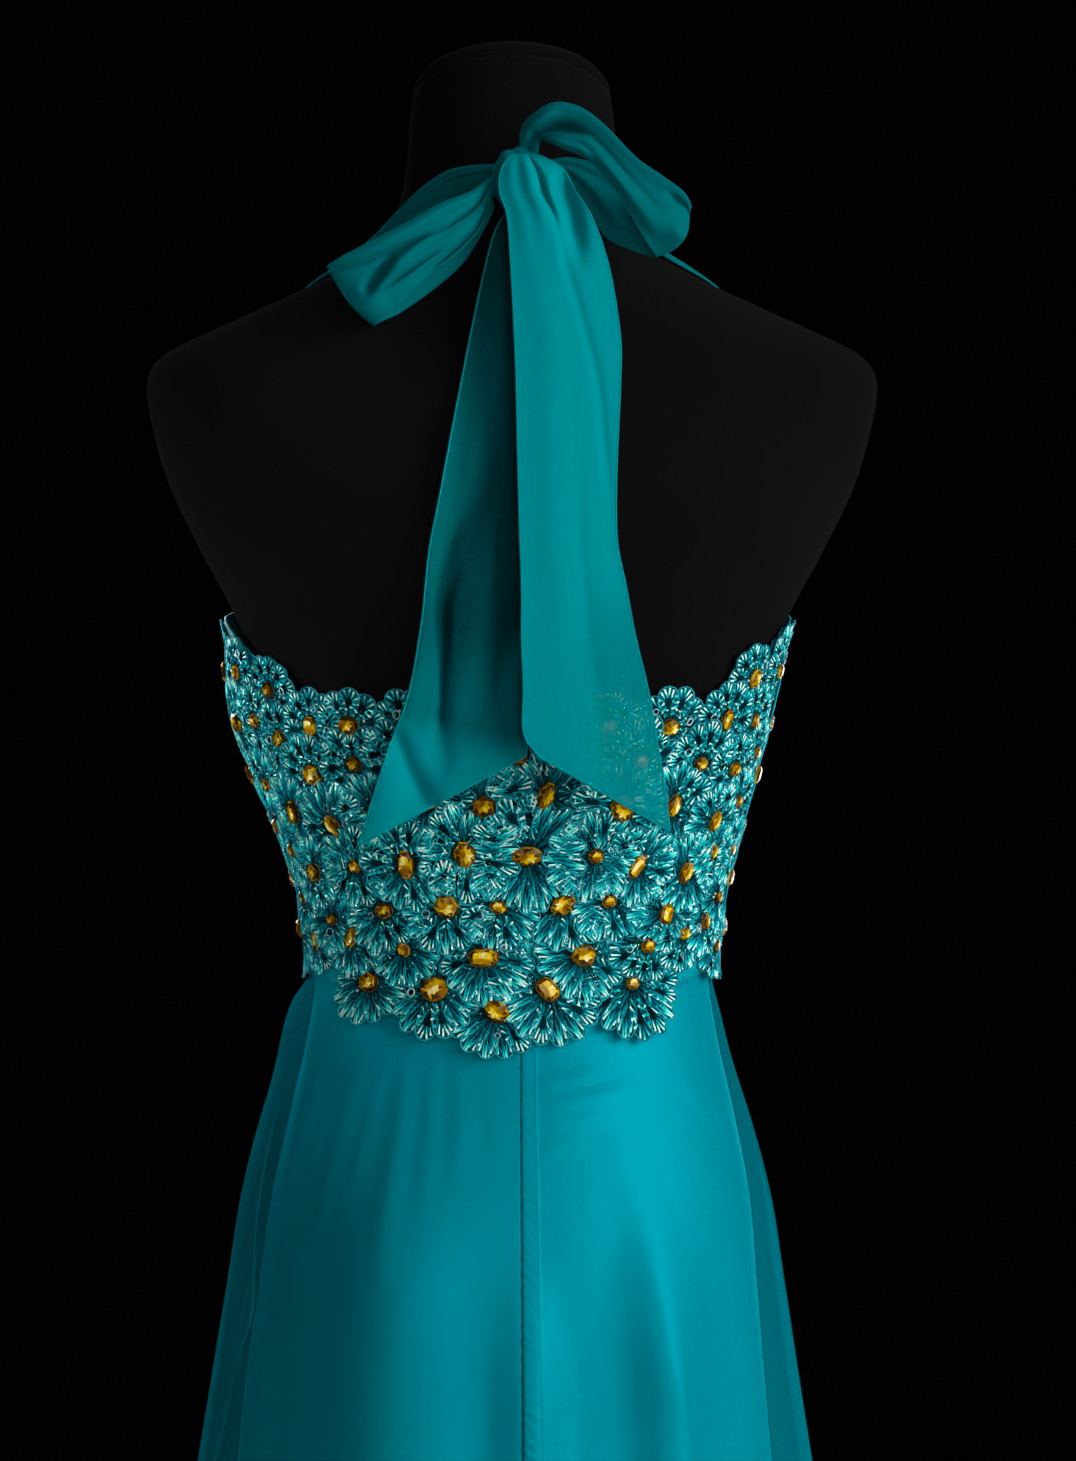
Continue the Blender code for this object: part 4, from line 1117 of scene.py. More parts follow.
def sequin_finish():
    """Cupped sequins: a clear bright rim round a dark middle; the rim's pale tone is partly the sequins' own
    colour and partly a painted highlight.
    """
    made = Finish("cup_sequin", Roughness=0.10, Coat_Weight=0.8)
    # The rim's pale tones: partly the clear sequins' colour, partly a painted highlight
    clear = made.mix(made.stored("chance"), (0.02, 0.20, 0.24, 1), (0.50, 0.72, 0.72, 1))
    made.to(Base_Color=made.mix(made.tone(), (0.0, 0.010, 0.014, 1), clear))
    return made.material


def sewing_finish():
    """Sewing thread a shade deeper than the satin."""
    made = Finish("sewing_thread", Roughness=0.6, Specular_IOR_Level=0.0)
    twist = made.grain(2200.0, 1.0)
    made.to(Base_Color=made.mix(twist, (0.0, 0.10, 0.13, 1), (0.0, 0.17, 0.20, 1)))
    made.bump(twist, 0.0002, 0.5)
    return made.material


# Small shapes, drawn at their own size


def shape_object(name, points, faces, places, group, shade_smooth=True):
    """A small shape for the trees to repeat. places gives each face's place in the thread's map."""
    mesh = mesh_of(name, points, faces, shade_smooth)
    layer = mesh.uv_layers.new(name="weave")
    for polygon, spots in zip(mesh.polygons, places):
        for loop, spot in zip(polygon.loop_indices, spots):
            layer.data[loop].uv = spot
    made = bpy.data.objects.new(name, mesh)
    group.objects.link(made)
    return made


def stitched_ribs(lines, rng, spread=0.26):
    """Raised ribs of thread along lines of places, each with the half width, height and tone there."""
    points, faces, places = [], [], []
    for line in lines:
        own = spread * (rng.random() - 0.5)
        start = len(points)
        for i, (place, half, high, _) in enumerate(line):
            before = line[max(i - 1, 0)][0]
            after = line[min(i + 1, len(line) - 1)][0]
            way = (after - before).normalized()
            side = Vector((-way.y, way.x)) * half
            for offset, up in ((side, high - 0.0005), (Vector((0, 0)), high), (-side, high - 0.0005)):
                points.append((place.x + offset.x, place.y + offset.y, up))
        for i in range(len(line) - 1):
            low, high = start + 3 * i, start + 3 * i + 3
            near, far = line[i][3] + own, line[i + 1][3] + own
            for k in (0, 1):
                faces.append((low + k, low + k + 1, high + k + 1, high + k)[::-1])
                places.append([(far, 1.0), (far, 1.0), (near, 0.0), (near, 0.0)])
    return points, faces, places


def petal_width(x):
    """Half the width of a petal at this share of its length, as a share of its widest."""
    if x < 0.72:
        return 0.20 + 0.80 * (x / 0.72) ** 0.8
    return math.sqrt(max(1 - ((x - 0.72) / 0.29) ** 2, 0.0))


def petal_dome(x, share):
    """How high the middle of a petal stands over its base."""
    along = math.sin(math.pi * min(max((x - 0.1) / 0.93, 0.0), 1.0)) ** 0.8
    return 0.0002 + 0.0008 * along * (1 - 0.7 * share * share)


def petal_plate(points, faces, places, tones):
    """The darker cloth of a petal under its stitches, darkest by the flower's middle, where the thread's own
    deep teal is deepened by a painted shade round the stone.
    """
    start = len(points)
    stations = ((0.14, 0.0), (0.48, 0.4), (0.82, 0.85), (1.01, 1.0))
    shares = (-1.0, -0.45, 0.45, 1.0)
    for x, _ in stations:
        for share in shares:
            y = share * petal_width(x) * PETAL_HALF_WIDTH
            points.append((x * PETAL_LENGTH, y, petal_dome(x, share)))
    across = len(shares)
    for i in range(len(stations) - 1):
        near = tones[0] + (tones[1] - tones[0]) * stations[i][1]
        far = tones[0] + (tones[1] - tones[0]) * stations[i + 1][1]
        for k in range(across - 1):
            low, high = start + i * across + k, start + (i + 1) * across + k
            faces.append((low, high, high + 1, low + 1))
            places.append([(near, 0.0), (far, 1.0), (far, 1.0), (near, 0.0)])


def fan_petal(name, group, rng, strokes):
    """A petal of threads from the flower's middle, and pale zigzag stitches to its rim."""
    lines = []
    for k in range(5):
        share = 0.42 * (k - 2) + 0.16 * (rng.random() - 0.5)
        line = []
        for x, half, tone in ((0.20, 0.00034, 0.22), (0.56 + 0.12 * rng.random(), 0.00050, 0.50)):
            y = share * petal_width(x) * PETAL_HALF_WIDTH
            line.append((Vector((x * PETAL_LENGTH, y)), half, petal_dome(x, share) + 0.0005, tone))
        lines.append(line)
    for k in range(strokes):
        share = (2 * k / (strokes - 1) - 1) * 0.93
        lean = 0.10 if k % 2 else -0.10
        rim = 1.0 - 0.30 * abs(share) ** 2.4
        inner = rim - (0.36 if k % 2 else 0.24) - 0.12 * rng.random()
        line = []
        for x, way, half, tone in ((inner, 1.0, 0.00036, 0.56), (rim, -1.0, 0.00066, 1.10)):
            y = (share * petal_width(x) + way * lean) * PETAL_HALF_WIDTH
            line.append((Vector((x * PETAL_LENGTH, y)), half, petal_dome(x, share) + 0.0006, tone))
        lines.append(line)
    points, faces, places = stitched_ribs(lines, rng, 0.46)
    petal_plate(points, faces, places, (0.06, 0.26))
    shape_object(name, points, faces, places, group)


def eyelet_petal(name, group, rng, strokes):
    """A petal whose stitches stand round a dark oval eyelet like a worked buttonhole."""
    middle = Vector((0.60 * PETAL_LENGTH, 0))
    lines = []
    for k in range(strokes):
        way = (-152 + 304 * k / (strokes - 1)) * DEGREE
        close = 0.34 + 0.16 * rng.random() + (0.08 if k % 2 else 0.0)
        line = []
        for out, turn, half, tone in ((close, 0.09, 0.00038, 0.60), (0.98, -0.05, 0.00068, 1.06)):
            turn = way + turn * (1 if k % 2 else -1)
            x = 0.385 * PETAL_LENGTH * math.cos(turn) * out
            place = middle + Vector((x, 0.98 * PETAL_HALF_WIDTH * math.sin(turn) * out))
            high = petal_dome(place.x / PETAL_LENGTH, 0.4) + 0.0007
            line.append((place, half, high, tone + 0.08 * math.cos(way)))
        lines.append(line)
    points, faces, places = stitched_ribs(lines, rng, 0.42)
    petal_plate(points, faces, places, (0.10, 0.28))
    start = len(points)
    for k in range(8):
        way = 2 * math.pi * k / 8
        across = 0.13 * PETAL_LENGTH * math.cos(way), 0.34 * PETAL_HALF_WIDTH * math.sin(way)
        points.append((middle.x + across[0], middle.y + across[1], petal_dome(0.6, 0) + 0.0001))
    faces.append(tuple(start + k for k in range(8)))
    places.append([(0.04, 0.5)] * 8)
    shape_object(name, points, faces, places, group)


def tube(line, radius, sides):
    """A tube with closed ends along a line of points, as points, faces and places in its map."""
    points, faces, places = [], [], []
    for i, point in enumerate(line):
        way = (line[min(i + 1, len(line) - 1)] - line[max(i - 1, 0)]).normalized()
        across = way.cross(Vector((0, 0, 1))).normalized()
        up = across.cross(way)
        for k in range(sides):
            turn = 2 * math.pi * (k + 0.5) / sides
            points.append(point + radius * (math.cos(turn) * across + math.sin(turn) * up))
    for i in range(len(line) - 1):
        for k in range(sides):
            after = (k + 1) % sides
            low, high = i * sides, (i + 1) * sides
            faces.append((low + after, low + k, high + k, high + after))
            u = i / (len(line) - 1)
            places.append([(u, 0.0), (u, 0.0), (u, 1.0), (u, 1.0)])
    faces.append(tuple(range(sides)))
    faces.append(tuple(len(points) - sides + k for k in reversed(range(sides))))
    places += [[(0.0, 0.5)] * sides, [(1.0, 0.5)] * sides]
    return points, faces, places


def rim_cord(name, group, steps=10):
    """The cord round a petal, from one side of its base to the other."""
    line = []
    for i in range(steps):
        share = 2 * i / (steps - 1) - 1
        x = (1.015 - 0.62 * abs(share) ** 1.9) * PETAL_LENGTH
        y = math.copysign(petal_width(min(x / PETAL_LENGTH, 1.0)) * 1.03, share) * PETAL_HALF_WIDTH
        if abs(share) < 0.2:
            y = share / 0.2 * 0.42 * PETAL_HALF_WIDTH
        line.append(Vector((x, y, 0.0009 - 0.0002 * abs(share))))
    shape_object(name, *tube(line, 0.00058, 3), group)


def centre_stitch(name, group):
    """One long stitch from beside the stone outwards."""
    line = [
        (Vector((0.0, 0.0)), 0.00032, 0.0008, 0.20),
        (Vector((STITCH_LENGTH / 2, 0.0)), 0.00048, 0.0012, 0.46),
        (Vector((STITCH_LENGTH, 0.0)), 0.00026, 0.0006, 0.58),
    ]
    shape_object(name, *stitched_ribs([line], random.Random(3)), group)


def ring(out, up, around):
    turns = [2 * math.pi * k / around for k in range(around)]
    return [(out * math.cos(turn), out * math.sin(turn), up) for turn in turns]


def seed_bead(name, group, radius=0.0010, around=6, rings=3):
    points = [(0, 0, 0)]
    for r in range(1, rings):
        lean = math.pi * r / rings
        points += ring(radius * math.sin(lean), radius * (1 - math.cos(lean)), around)
    points.append((0, 0, 2 * radius))
    last = len(points) - 1
    faces = [(0, 1 + (k + 1) % around, 1 + k) for k in range(around)]
    faces += ring_faces(rings - 1, around, 1)
    faces += [(last - around + k, last - around + (k + 1) % around, last) for k in range(around)]
    shape_object(name, points, faces, [[(0.5, 0.5)] * len(f) for f in faces], group)


def cup_sequin(name, group, radius=0.0018, thick=0.00042, around=12, sides=4):
    """A small cupped disc with a raised rim."""
    points, faces, places = [], [], []
    for i in range(around):
        turn = 2 * math.pi * i / around
        for k in range(sides):
            lean = 2 * math.pi * k / sides
            out = radius + thick * math.cos(lean)
            points.append((out * math.cos(turn), out * math.sin(turn), thick + thick * math.sin(lean)))
    for i in range(around):
        low, high = i * sides, ((i + 1) % around) * sides
        for k in range(sides):
            after = (k + 1) % sides
            faces.append((low + k, high + k, high + after, low + after))
            places.append([(1.0, 0.5)] * 4)
    faces.append(tuple(len(points) + i for i in range(around)))
    points += ring(radius - thick / 2, 0.0003, around)
    places.append([(0.0, 0.5)] * around)
    shape_object(name, points, faces, places, group)


def stone_outline(cut, corners):
    """The outline of a stone of unit length and width."""
    outline = []
    for k in range(corners):
        turn = 2 * math.pi * (k + 0.5) / corners
        x, y = math.cos(turn), math.sin(turn)
        if cut == "step":
            x, y = [math.copysign(min(abs(c) * 1.32, 0.94), c) for c in (x, y)]
        if cut == "star":
            reach = 1.0 if k % 2 else 0.93
            x, y = x * reach, y * reach
        if cut == "navette":
            y *= 1 - 0.35 * abs(x) ** 3
        if cut == "pear":
            y *= 1 - 0.42 * max(x, 0.0) ** 1.4
        outline.append(Vector((x / 2, y / 2)))
    return outline


def cut_stone(name, cut, group, rng, aside):
    """A faceted stone of unit length, width and height, with painted reflections: a bright star of a table in
    a dark crown.
    """
    n = {"round": 8, "oval": 8, "pear": 8, "navette": 6, "star": 6, "step": 8}[cut]
    tips, dips = {"step": (0.66, 0.62), "round": (0.60, 0.44), "star": (0.74, 0.42)}.get(cut, (0.70, 0.46))
    girdle = stone_outline(cut, n)
    table = []
    for k in range(n):
        halfway = (girdle[k] + girdle[(k + 1) % n]) / 2
        table += [girdle[k] * dips * (0.9 + 0.2 * rng.random()), halfway * tips * (0.92 + 0.2 * rng.random())]
    table = [spot + Vector(aside) for spot in table]
    points = [(q.x * 0.90, q.y * 0.90, 0.0) for q in girdle]
    points += [(q.x, q.y, 0.34) for q in girdle]
    points += [(q.x * 0.90, q.y * 0.90, 0.70) for q in girdle]
    points += [(q.x, q.y, 0.97 + 0.12 * q.x) for q in table]
    faces, places = [tuple(reversed(range(n)))], [[(0.05, 0.5)] * n]

    def facet(face, tone):
        faces.append(face)
        places.append([(tone, 0.5)] * len(face))

    # Tones for the crown's facets: painted reflections, mostly dark
    def dark():
        return rng.choice((0.06, 0.14, 0.22, 0.30, 0.44, 0.62))

    for k in range(n):
        after = (k + 1) % n
        tip, dip, next_dip = 3 * n + 2 * k + 1, 3 * n + 2 * k, 3 * n + 2 * after
        facet((k, after, n + after, n + k), 0.10)
        facet((n + k, n + after, 2 * n + after, 2 * n + k), dark())
        facet((2 * n + k, 2 * n + after, tip), dark())
        facet((2 * n + k, tip, dip), dark())
        facet((2 * n + after, next_dip, tip), dark())
    points.append((1.4 * aside[0], 1.4 * aside[1], 1.0))
    # One facet of the table holds a painted glint; the others are painted less bright the farther they lie
    # from it
    painted_glint = rng.randrange(2 * n)
    for k in range(2 * n):
        far = min((k - painted_glint) % (2 * n), (painted_glint - k) % (2 * n)) / n
        tone = 0.84 - 0.40 * eased(far, 0.35, 0.75) + 0.12 * (rng.random() - 0.5)
        facet((3 * n + k, 3 * n + (k + 1) % (2 * n), 5 * n), 1.0 if k == painted_glint else tone)
    shape_object(name, points, faces, places, group, shade_smooth=False)


def claw_setting(name, group, around=12):
    """The thin metal rim that holds a stone, of unit length and width."""
    rings = ((0.50, 0.0), (0.515, 0.40), (0.46, 0.52))
    points = [place for out, up in rings for place in ring(out, up, around)]
    faces = ring_faces(len(rings), around)
    shape_object(name, points, faces, [[(0.5, 0.5)] * 4 for _ in faces], group)


def sewn_stitch(name, group):
    """One stitch of sewing thread, lying along X."""
    line = [Vector((-0.0012, 0, -0.0001)), Vector((-0.0006, 0, 0.00018)), Vector((0.0006, 0, 0.00018))]
    line.append(Vector((0.0012, 0, -0.0001)))
    shape_object(name, *tube(line, 0.00020, 4), group)


# Node trees that repeat shapes


class Tree(Nodes):
    """A geometry tree being made, with its named inputs."""

    def __init__(self, name, *inputs):
        self.tree = bpy.data.node_groups.new(name, "GeometryNodeTree")
        self.ids = {}
        for label, kind, start in (("Geometry", "Geometry", None), *inputs, ("Finish", "Material", None)):
            kind = "NodeSocket" + kind
            socket = self.tree.interface.new_socket(name=label, in_out="INPUT", socket_type=kind)
            if start is not None:
                socket.default_value = start
            self.ids[label] = socket.identifier
        self.tree.interface.new_socket(name="Geometry", in_out="OUTPUT", socket_type="NodeSocketGeometry")
        self.start = self.tree.nodes.new("NodeGroupInput")
        self.end = self.tree.nodes.new("NodeGroupOutput")

    def given(self, label):
        return self.start.outputs[label]

    def attribute(self, name, kind="FLOAT_VECTOR"):
        made = self.node("GeometryNodeInputNamedAttribute", {"Name": name}, data_type=kind)
        return made.outputs["Attribute"]

    def apart(self, vector):
        return self.node("ShaderNodeSeparateXYZ", {0: vector}).outputs

    def line(self):
        return self.node("GeometryNodeMeshToCurve", {"Mesh": self.given("Geometry")}).outputs[0]

    def copies(self, points, index, rotation, **size):
        """Copies of the shapes on points, each with a number from 0 to 1 stored on it."""
        values = {"Collection": self.given("Shapes"), "Separate Children": True, "Reset Children": True}
        shapes = self.node("GeometryNodeCollectionInfo", values).outputs[0]
        made = self.node("GeometryNodeInstanceOnPoints", {
            "Points": points,
            "Instance": shapes,
            "Pick Instance": True,
            "Instance Index": index,
            "Rotation": rotation,
            **size,
        }).outputs[0]
        chance = self.node("FunctionNodeRandomValue", {"Seed": self.given("Seed")}, data_type="FLOAT")
        value = next(s for s in chance.outputs if s.enabled)
        values = {"Geometry": made, "Name": "chance", "Value": value}
        made = self.node("GeometryNodeStoreNamedAttribute", values, data_type="FLOAT", domain="INSTANCE")
        return made.outputs["Geometry"]

    def finished(self, geometry):
        real = self.node("GeometryNodeRealizeInstances", {"Geometry": geometry}).outputs[0]
        values = {"Geometry": real, "Material": self.given("Finish")}
        last = self.node("GeometryNodeSetMaterial", values).outputs[0]
        self.tree.links.new(last, self.end.inputs[0])
        return self

    def use(self, name, mesh, **values):
        """Makes a piece with this tree from a mesh of points or edges."""
        thing = new_object(name, mesh)
        modifier = thing.modifiers.new("repeat", "NODES")
        modifier.node_group = self.tree
        for label, value in values.items():
            modifier[self.ids[label]] = value
        return made_plain(thing)


def cloth_map():
    """The bodice as a sheet whose UV map is angle and height, for the trees to lay shapes on."""
    (first, last), (low, high) = FLAT["angle"], FLAT["height"]
    columns, rows = FLAT["columns"], FLAT["rows"]
    angles = [first + (last - first) * i / (columns - 1) for i in range(columns)]
    heights = [low + (high - low) * i / (rows - 1) for i in range(rows)]
    points = [bodice_point(a, z, GROUND_WALL) for z in heights for a in angles]
    mesh = mesh_of("cloth_map", points, grid_faces(rows, columns))
    layer = mesh.uv_layers.new(name="flat")
    for loop in mesh.loops:
        row, column = divmod(loop.vertex_index, columns)
        layer.data[loop.index].uv = (column / (columns - 1), row / (rows - 1))
    store(mesh, "outward", [c for vertex in mesh.vertices for c in vertex.normal], "FLOAT_VECTOR")
    return new_object("cloth_map", mesh)


def applique_tree():
    """Lays copies of shapes round their flowers' middles and presses them to the cloth."""
    things = (("Shapes", "Collection", None), ("Cloth", "Object", None))
    made = Tree("laid_on_cloth", *things, ("Relief", "Float", 1.0), ("Seed", "Int", 7))
    size = made.attribute("size")
    copies = made.copies(
        made.given("Geometry"), made.attribute("kind", "INT"), made.attribute("turning"), Scale=size
    )
    real = made.node("GeometryNodeRealizeInstances", {"Geometry": copies}).outputs[0]
    position = made.node("GeometryNodeInputPosition").outputs[0]
    here, middle = made.apart(position), made.apart(made.attribute("middle"))
    (first, last), (low, high) = FLAT["angle"], FLAT["height"]
    angle = made.maths("ADD", made.maths("DIVIDE", here["X"], middle["Z"]), middle["X"])
    height = made.maths("ADD", here["Y"], middle["Y"])
    u = made.maths("DIVIDE", made.maths("SUBTRACT", angle, first), last - first)
    v = made.maths("DIVIDE", made.maths("SUBTRACT", height, low), high - low)
    spot = made.node("ShaderNodeCombineXYZ", {"X": u, "Y": v}).outputs[0]
    cloth = made.node("GeometryNodeObjectInfo", {"Object": made.given("Cloth")}).outputs["Geometry"]
    read = []
    for value in (position, made.attribute("outward")):
        values = {"Mesh": cloth, "Value": value, "UV Map": made.attribute("flat"), "Sample UV": spot}
        found = made.node("GeometryNodeSampleUVSurface", values, data_type="FLOAT_VECTOR")
        read.append(found.outputs["Value"])
    values = {0: read[1], "Scale": made.maths("MULTIPLY", here["Z"], made.given("Relief"))}
    rise = made.node("ShaderNodeVectorMath", values, operation="SCALE").outputs[0]
    place = made.node("ShaderNodeVectorMath", {0: read[0], 1: rise}, operation="ADD").outputs[0]
    pressed = made.node("GeometryNodeSetPosition", {"Geometry": real, "Position": place}).outputs[0]
    return made.finished(pressed)


def stitching_tree():
    """Spaces stitches along a line of sewing."""
    inputs = (("Shapes", "Collection", None), ("Spacing", "Float", 0.0032), ("Seed", "Int", 3))
    made = Tree("sewn_along", *inputs)
    points = made.node("GeometryNodeCurveToPoints", {"Curve": made.line()}, mode="LENGTH")
    made.tree.links.new(made.given("Spacing"), points.inputs["Length"])
    values = {"Vector": points.outputs["Tangent"]}
    along = made.node("FunctionNodeAlignRotationToVector", values, axis="X").outputs[0]
    values = {"Rotation": along, "Vector": made.attribute("outward")}
    facing = made.node("FunctionNodeAlignRotationToVector", values, axis="Z", pivot_axis="X").outputs[0]
    return made.finished(made.copies(points.outputs["Points"], 0, facing))


def rolled_edge_tree():
    """A narrow rolled hem along a line."""
    made = Tree("rolled_edge", ("Thickness", "Float", 0.0005), ("Seed", "Int", 1))
    values = {"Resolution": 6, "Radius": made.given("Thickness")}
    round_hem = made.node("GeometryNodeCurvePrimitiveCircle", values).outputs["Curve"]
    values = {"Curve": made.line(), "Profile Curve": round_hem, "Fill Caps": True}
    return made.finished(made.node("GeometryNodeCurveToMesh", values).outputs[0])


def line_mesh(name, line, outward=None):
    """A line of points as a mesh of edges, with the way out of the cloth at each point."""
    mesh = bpy.data.meshes.new(name)
    mesh.from_pydata(line, [(i, i + 1) for i in range(len(line) - 1)], [])
    if outward:
        store(mesh, "outward", [c for way in outward for c in way], "FLOAT_VECTOR")
    return mesh


def point_mesh(name, rows):
    """Points with the kind, turning, size and flower of what is laid there."""
    mesh = bpy.data.meshes.new(name)
    mesh.from_pydata([row["place"] for row in rows], [], [])
    store(mesh, "kind", [row["kind"] for row in rows], "INT")
    for label in ("turning", "size", "middle"):
        store(mesh, label, [c for row in rows for c in row[label]], "FLOAT_VECTOR")
    return mesh


# The applique


def edge_height(table, angle):
    return smooth(table, 1, abs(turn_between(angle, 0)))


def stretch(angle, height):
    """Metres round the bodice for each degree here."""
    return (bodice_point(angle + 1, height, 0) - bodice_point(angle - 1, height, 0)).length / 2


def back_angle(across, height):
    """The angle at which the back of the bodice is this far across."""
    half_width = bodice_point(90, height, 0.001).x
    share = min(abs(across) / half_width, 0.9999)
    return math.copysign(math.asin(share ** (smooth(FORM_SECTIONS, 4, height) / 2)) / DEGREE, across)


def back_flowers():
    made = []
    for across, up, radius, length, width, turn, cut in BACK_FLOWERS:
        height = WAIST + up / 1000
        size = (radius / 1000, length / 1000, width / 1000, turn, cut)
        made.append((back_angle(across / 1000, height), height, *size))
    return made


def front_flowers():
    """Flowers in rows over both sides and the front."""
    made = []
    for row, (up, count) in enumerate(FRONT_ROWS):
        height = WAIST + up / 1000
        for i in range(count):
            share = (i + 0.25 + 0.5 * (row % 2)) / count
            angle = FRONT_FLOWERS_FROM + (360 - 2 * FRONT_FLOWERS_FROM) * share
            lowest, highest = edge_height(BOTTOM_EDGE, angle), edge_height(TOP_EDGE, angle)
            if angle > 360 - SIDE_SEAM:
                angle -= 360
            if lowest - 0.002 < height < highest - BELOW_TOP_EDGE:
                radius = 0.0275 + 0.0022 * math.sin(2.1 * i + row)
                wobble = 1.5 * math.sin(3.7 * i + 1.9 * row)
                big = (i + row) % 3
                long, wide = (0.015, 0.011) if big else (0.009, 0.009)
                cut = FRONT_CUTS[(2 * i + row) % 6] if big else "round"
                made.append((angle + wobble, height, radius, long, wide, 40 * i, cut))
    return made


def add_fillers(made):
    """Adds small flowers wherever the others leave room."""
    for row in range(26):
        height = 1.046 + 0.009 * row
        for step in range(90):
            angle = -SIDE_SEAM + 4 * step + 2 * (row % 2)
            lowest = edge_height(BOTTOM_EDGE, angle) + (0.024 if abs(angle) < 72 else 0.004)
            if not lowest < height < edge_height(TOP_EDGE, angle) - BELOW_TOP_EDGE:
                continue
            near = min(
                math.hypot(turn_between(angle, other[0]) * BODICE_DEGREE, height - other[1]) for other in made
            )
            if near > FILLER_SPACE:
                made.append((angle, height, *FILLER, 30 * step, "round"))


def flowers():
    """Each flower's place, size, stone and layer, as a dictionary."""
    made = back_flowers() + front_flowers()
    add_fillers(made)
    found = [dict(zip(("angle", "height", "radius", "long", "wide", "turn", "cut"), row)) for row in made]
    for flower in found:
        rows_away = min(abs(flower["height"] - MIDDLE_ROW) / 0.027, MOST_ROWS_FROM_MIDDLE)
        flower["layer"] = MOST_ROWS_FROM_MIDDLE - rows_away + 0.2 * math.sin(40 * flower["angle"])
        flower["across"] = stretch(flower["angle"], flower["height"])
    return found


def neighbours(flower, all_flowers):
    """The flowers round this one, with the way to each in metres."""
    found = []
    for other in all_flowers:
        turn = turn_between(other["angle"], flower["angle"])
        way = Vector((turn * flower["across"], other["height"] - flower["height"]))
        if other is not flower and way.length < NEAR_FLOWERS:
            found.append((other, way))
    return found


def petals(flower, near):
    """Each petal's direction, length and half width, and how high its tip lies."""
    eyelets = flower["height"] > EYELETS_ABOVE
    pitch = EYELET_PITCH if eyelets else FAN_PITCH
    count = round(2 * math.pi * flower["radius"] / pitch)
    made = []
    for k in range(count):
        turn = 17 * flower["layer"] * DEGREE + 2 * math.pi * k / count
        way = Vector((math.cos(turn), math.sin(turn)))
        length = flower["radius"] * (1 + 0.05 * math.sin(5.3 * k + flower["angle"]))
        while length > SHORTEST_PETAL:
            half = math.pi * length / count
            tip = way * (length - half)
            if all((tip - at).length > half + 0.32 * other["wide"] for other, at in near):
                break
            length -= 0.0008
        over = 0.0
        for other, at in near:
            facing = max(way.dot(at.normalized()), 0.0) ** 3
            over += facing * math.copysign(1.0, flower["layer"] - other["layer"])
        tip_lift = PETAL_TIP_LIFT + 0.0011 * min(max(over, -1.0), 1.0)
        made.append((turn, length, PETAL_SHARE * math.pi * length / count, tip_lift))
    return made


def flower_outline(flower, near, share):
    """A line round the petals of a flower, as angles and heights."""
    found = []
    around = petals(flower, near)
    for (turn, length, half, _), following in zip(around, around[1:] + around[:1]):
        for lean, out in ((-0.55, 0.93), (0.0, 1.0), (0.55, 0.93)):
            found.append((turn + lean * half / length, share * out * length))
        found.append((turn + math.pi / len(around), share * 0.84 * min(length, following[1])))
    return [
        (flower["angle"] + out * math.cos(turn) / flower["across"], flower["height"] + out * math.sin(turn))
        for turn, out in found
    ]


def lay_flower(rows, flower, near, rng):
    """Lays the petals, cords, stitches, stone, setting, beads and rings of one flower."""
    around = petals(flower, near)
    half_stone = (flower["long"] + flower["wide"]) / 4
    middle = (flower["angle"], flower["height"], flower["across"])

    def lay(name, place, kind, turning, size):
        row = {"place": place, "kind": kind, "turning": turning, "size": size, "middle": middle}
        rows[name].append(row)

    def spot(turn, out, up):
        return (out * math.cos(turn), out * math.sin(turn), up)

    for turn, length, half, tip in around:
        tilt = math.asin((tip - PETAL_BASE_LIFT) / length)
        size = (length / PETAL_LENGTH, half / PETAL_HALF_WIDTH, 1.0)
        eyelets = flower["height"] > EYELETS_ABOVE or rng.random() < 0.25
        petal = (0 if eyelets else 3) + rng.randrange(3)
        for name, kind in (("petals", petal), ("cords", 0)):
            lay(name, (0, 0, PETAL_BASE_LIFT), kind, (0, -tilt, turn), size)
    for k in range(STITCHES):
        turn = 2 * math.pi * (k + 0.5 * rng.random()) / STITCHES
        start = half_stone * (0.75 + 0.2 * rng.random())
        length = (0.30 + 0.25 * rng.random()) * flower["radius"]
        lay("stitches", spot(turn, start, STITCH_LIFT), 0, (0, 0, turn), (length / STITCH_LENGTH, 1.1, 1.0))
    turning = (0, 0, flower["turn"] * DEGREE)
    stone = (flower["long"], flower["wide"], 0.26 * flower["wide"] + 0.0008)
    lay("stones", (0, 0, STONE_SEAT), rng.choice(CUTS[flower["cut"]]), turning, stone)
    rim = (flower["long"], flower["wide"], SETTING_HEIGHT)
    lay("settings", (0, 0, STONE_SEAT - 0.0004), 0, turning, rim)
    for k in range(BEADS):
        turn = 2 * math.pi * (k + rng.random()) / BEADS
        out = half_stone + 0.0015 + 0.0055 * rng.random()
        size = 0.55 + 0.45 * rng.random()
        lay("beads", spot(turn, out, BEAD_SEAT - 0.0004), 0, (0, 0, 0), (size,) * 3)
    for (turn, length, *_), following in zip(around, around[1:] + around[:1]):
        if rng.random() < 0.45:
            turn += math.pi / len(around)
            out = (0.62 + 0.25 * rng.random()) * min(length, following[1])
            size = 0.5 + 0.5 * rng.random()
            lay("beads", spot(turn, out, BEAD_SEAT - 0.0006), 0, (0, 0, 0), (size,) * 3)
    for _ in range(rng.choice((0, 1, 1, 2))):
        turn = 2 * math.pi * rng.random()
        out = half_stone + 0.003 + 0.006 * rng.random()
        size = 0.8 + 0.5 * rng.random()
        tilt = (0.5 * rng.random() - 0.25, 0.5 * rng.random() - 0.25, 0)
        lay("rings", spot(turn, out, BEAD_SEAT), 0, tilt, (size,) * 3)


def applique_points(chosen, all_flowers, rng):
    """What is laid on the chosen flowers, by the name of its shapes."""
    rows = {name: [] for name in SEWN_ON}
    for flower in chosen:
        lay_flower(rows, flower, neighbours(flower, all_flowers), rng)
    return rows


def flat(point):
    """Angle and height as a flat place in metres, for the triangulation."""
    return Vector((point[0] * FLAT_DEGREE, point[1]))


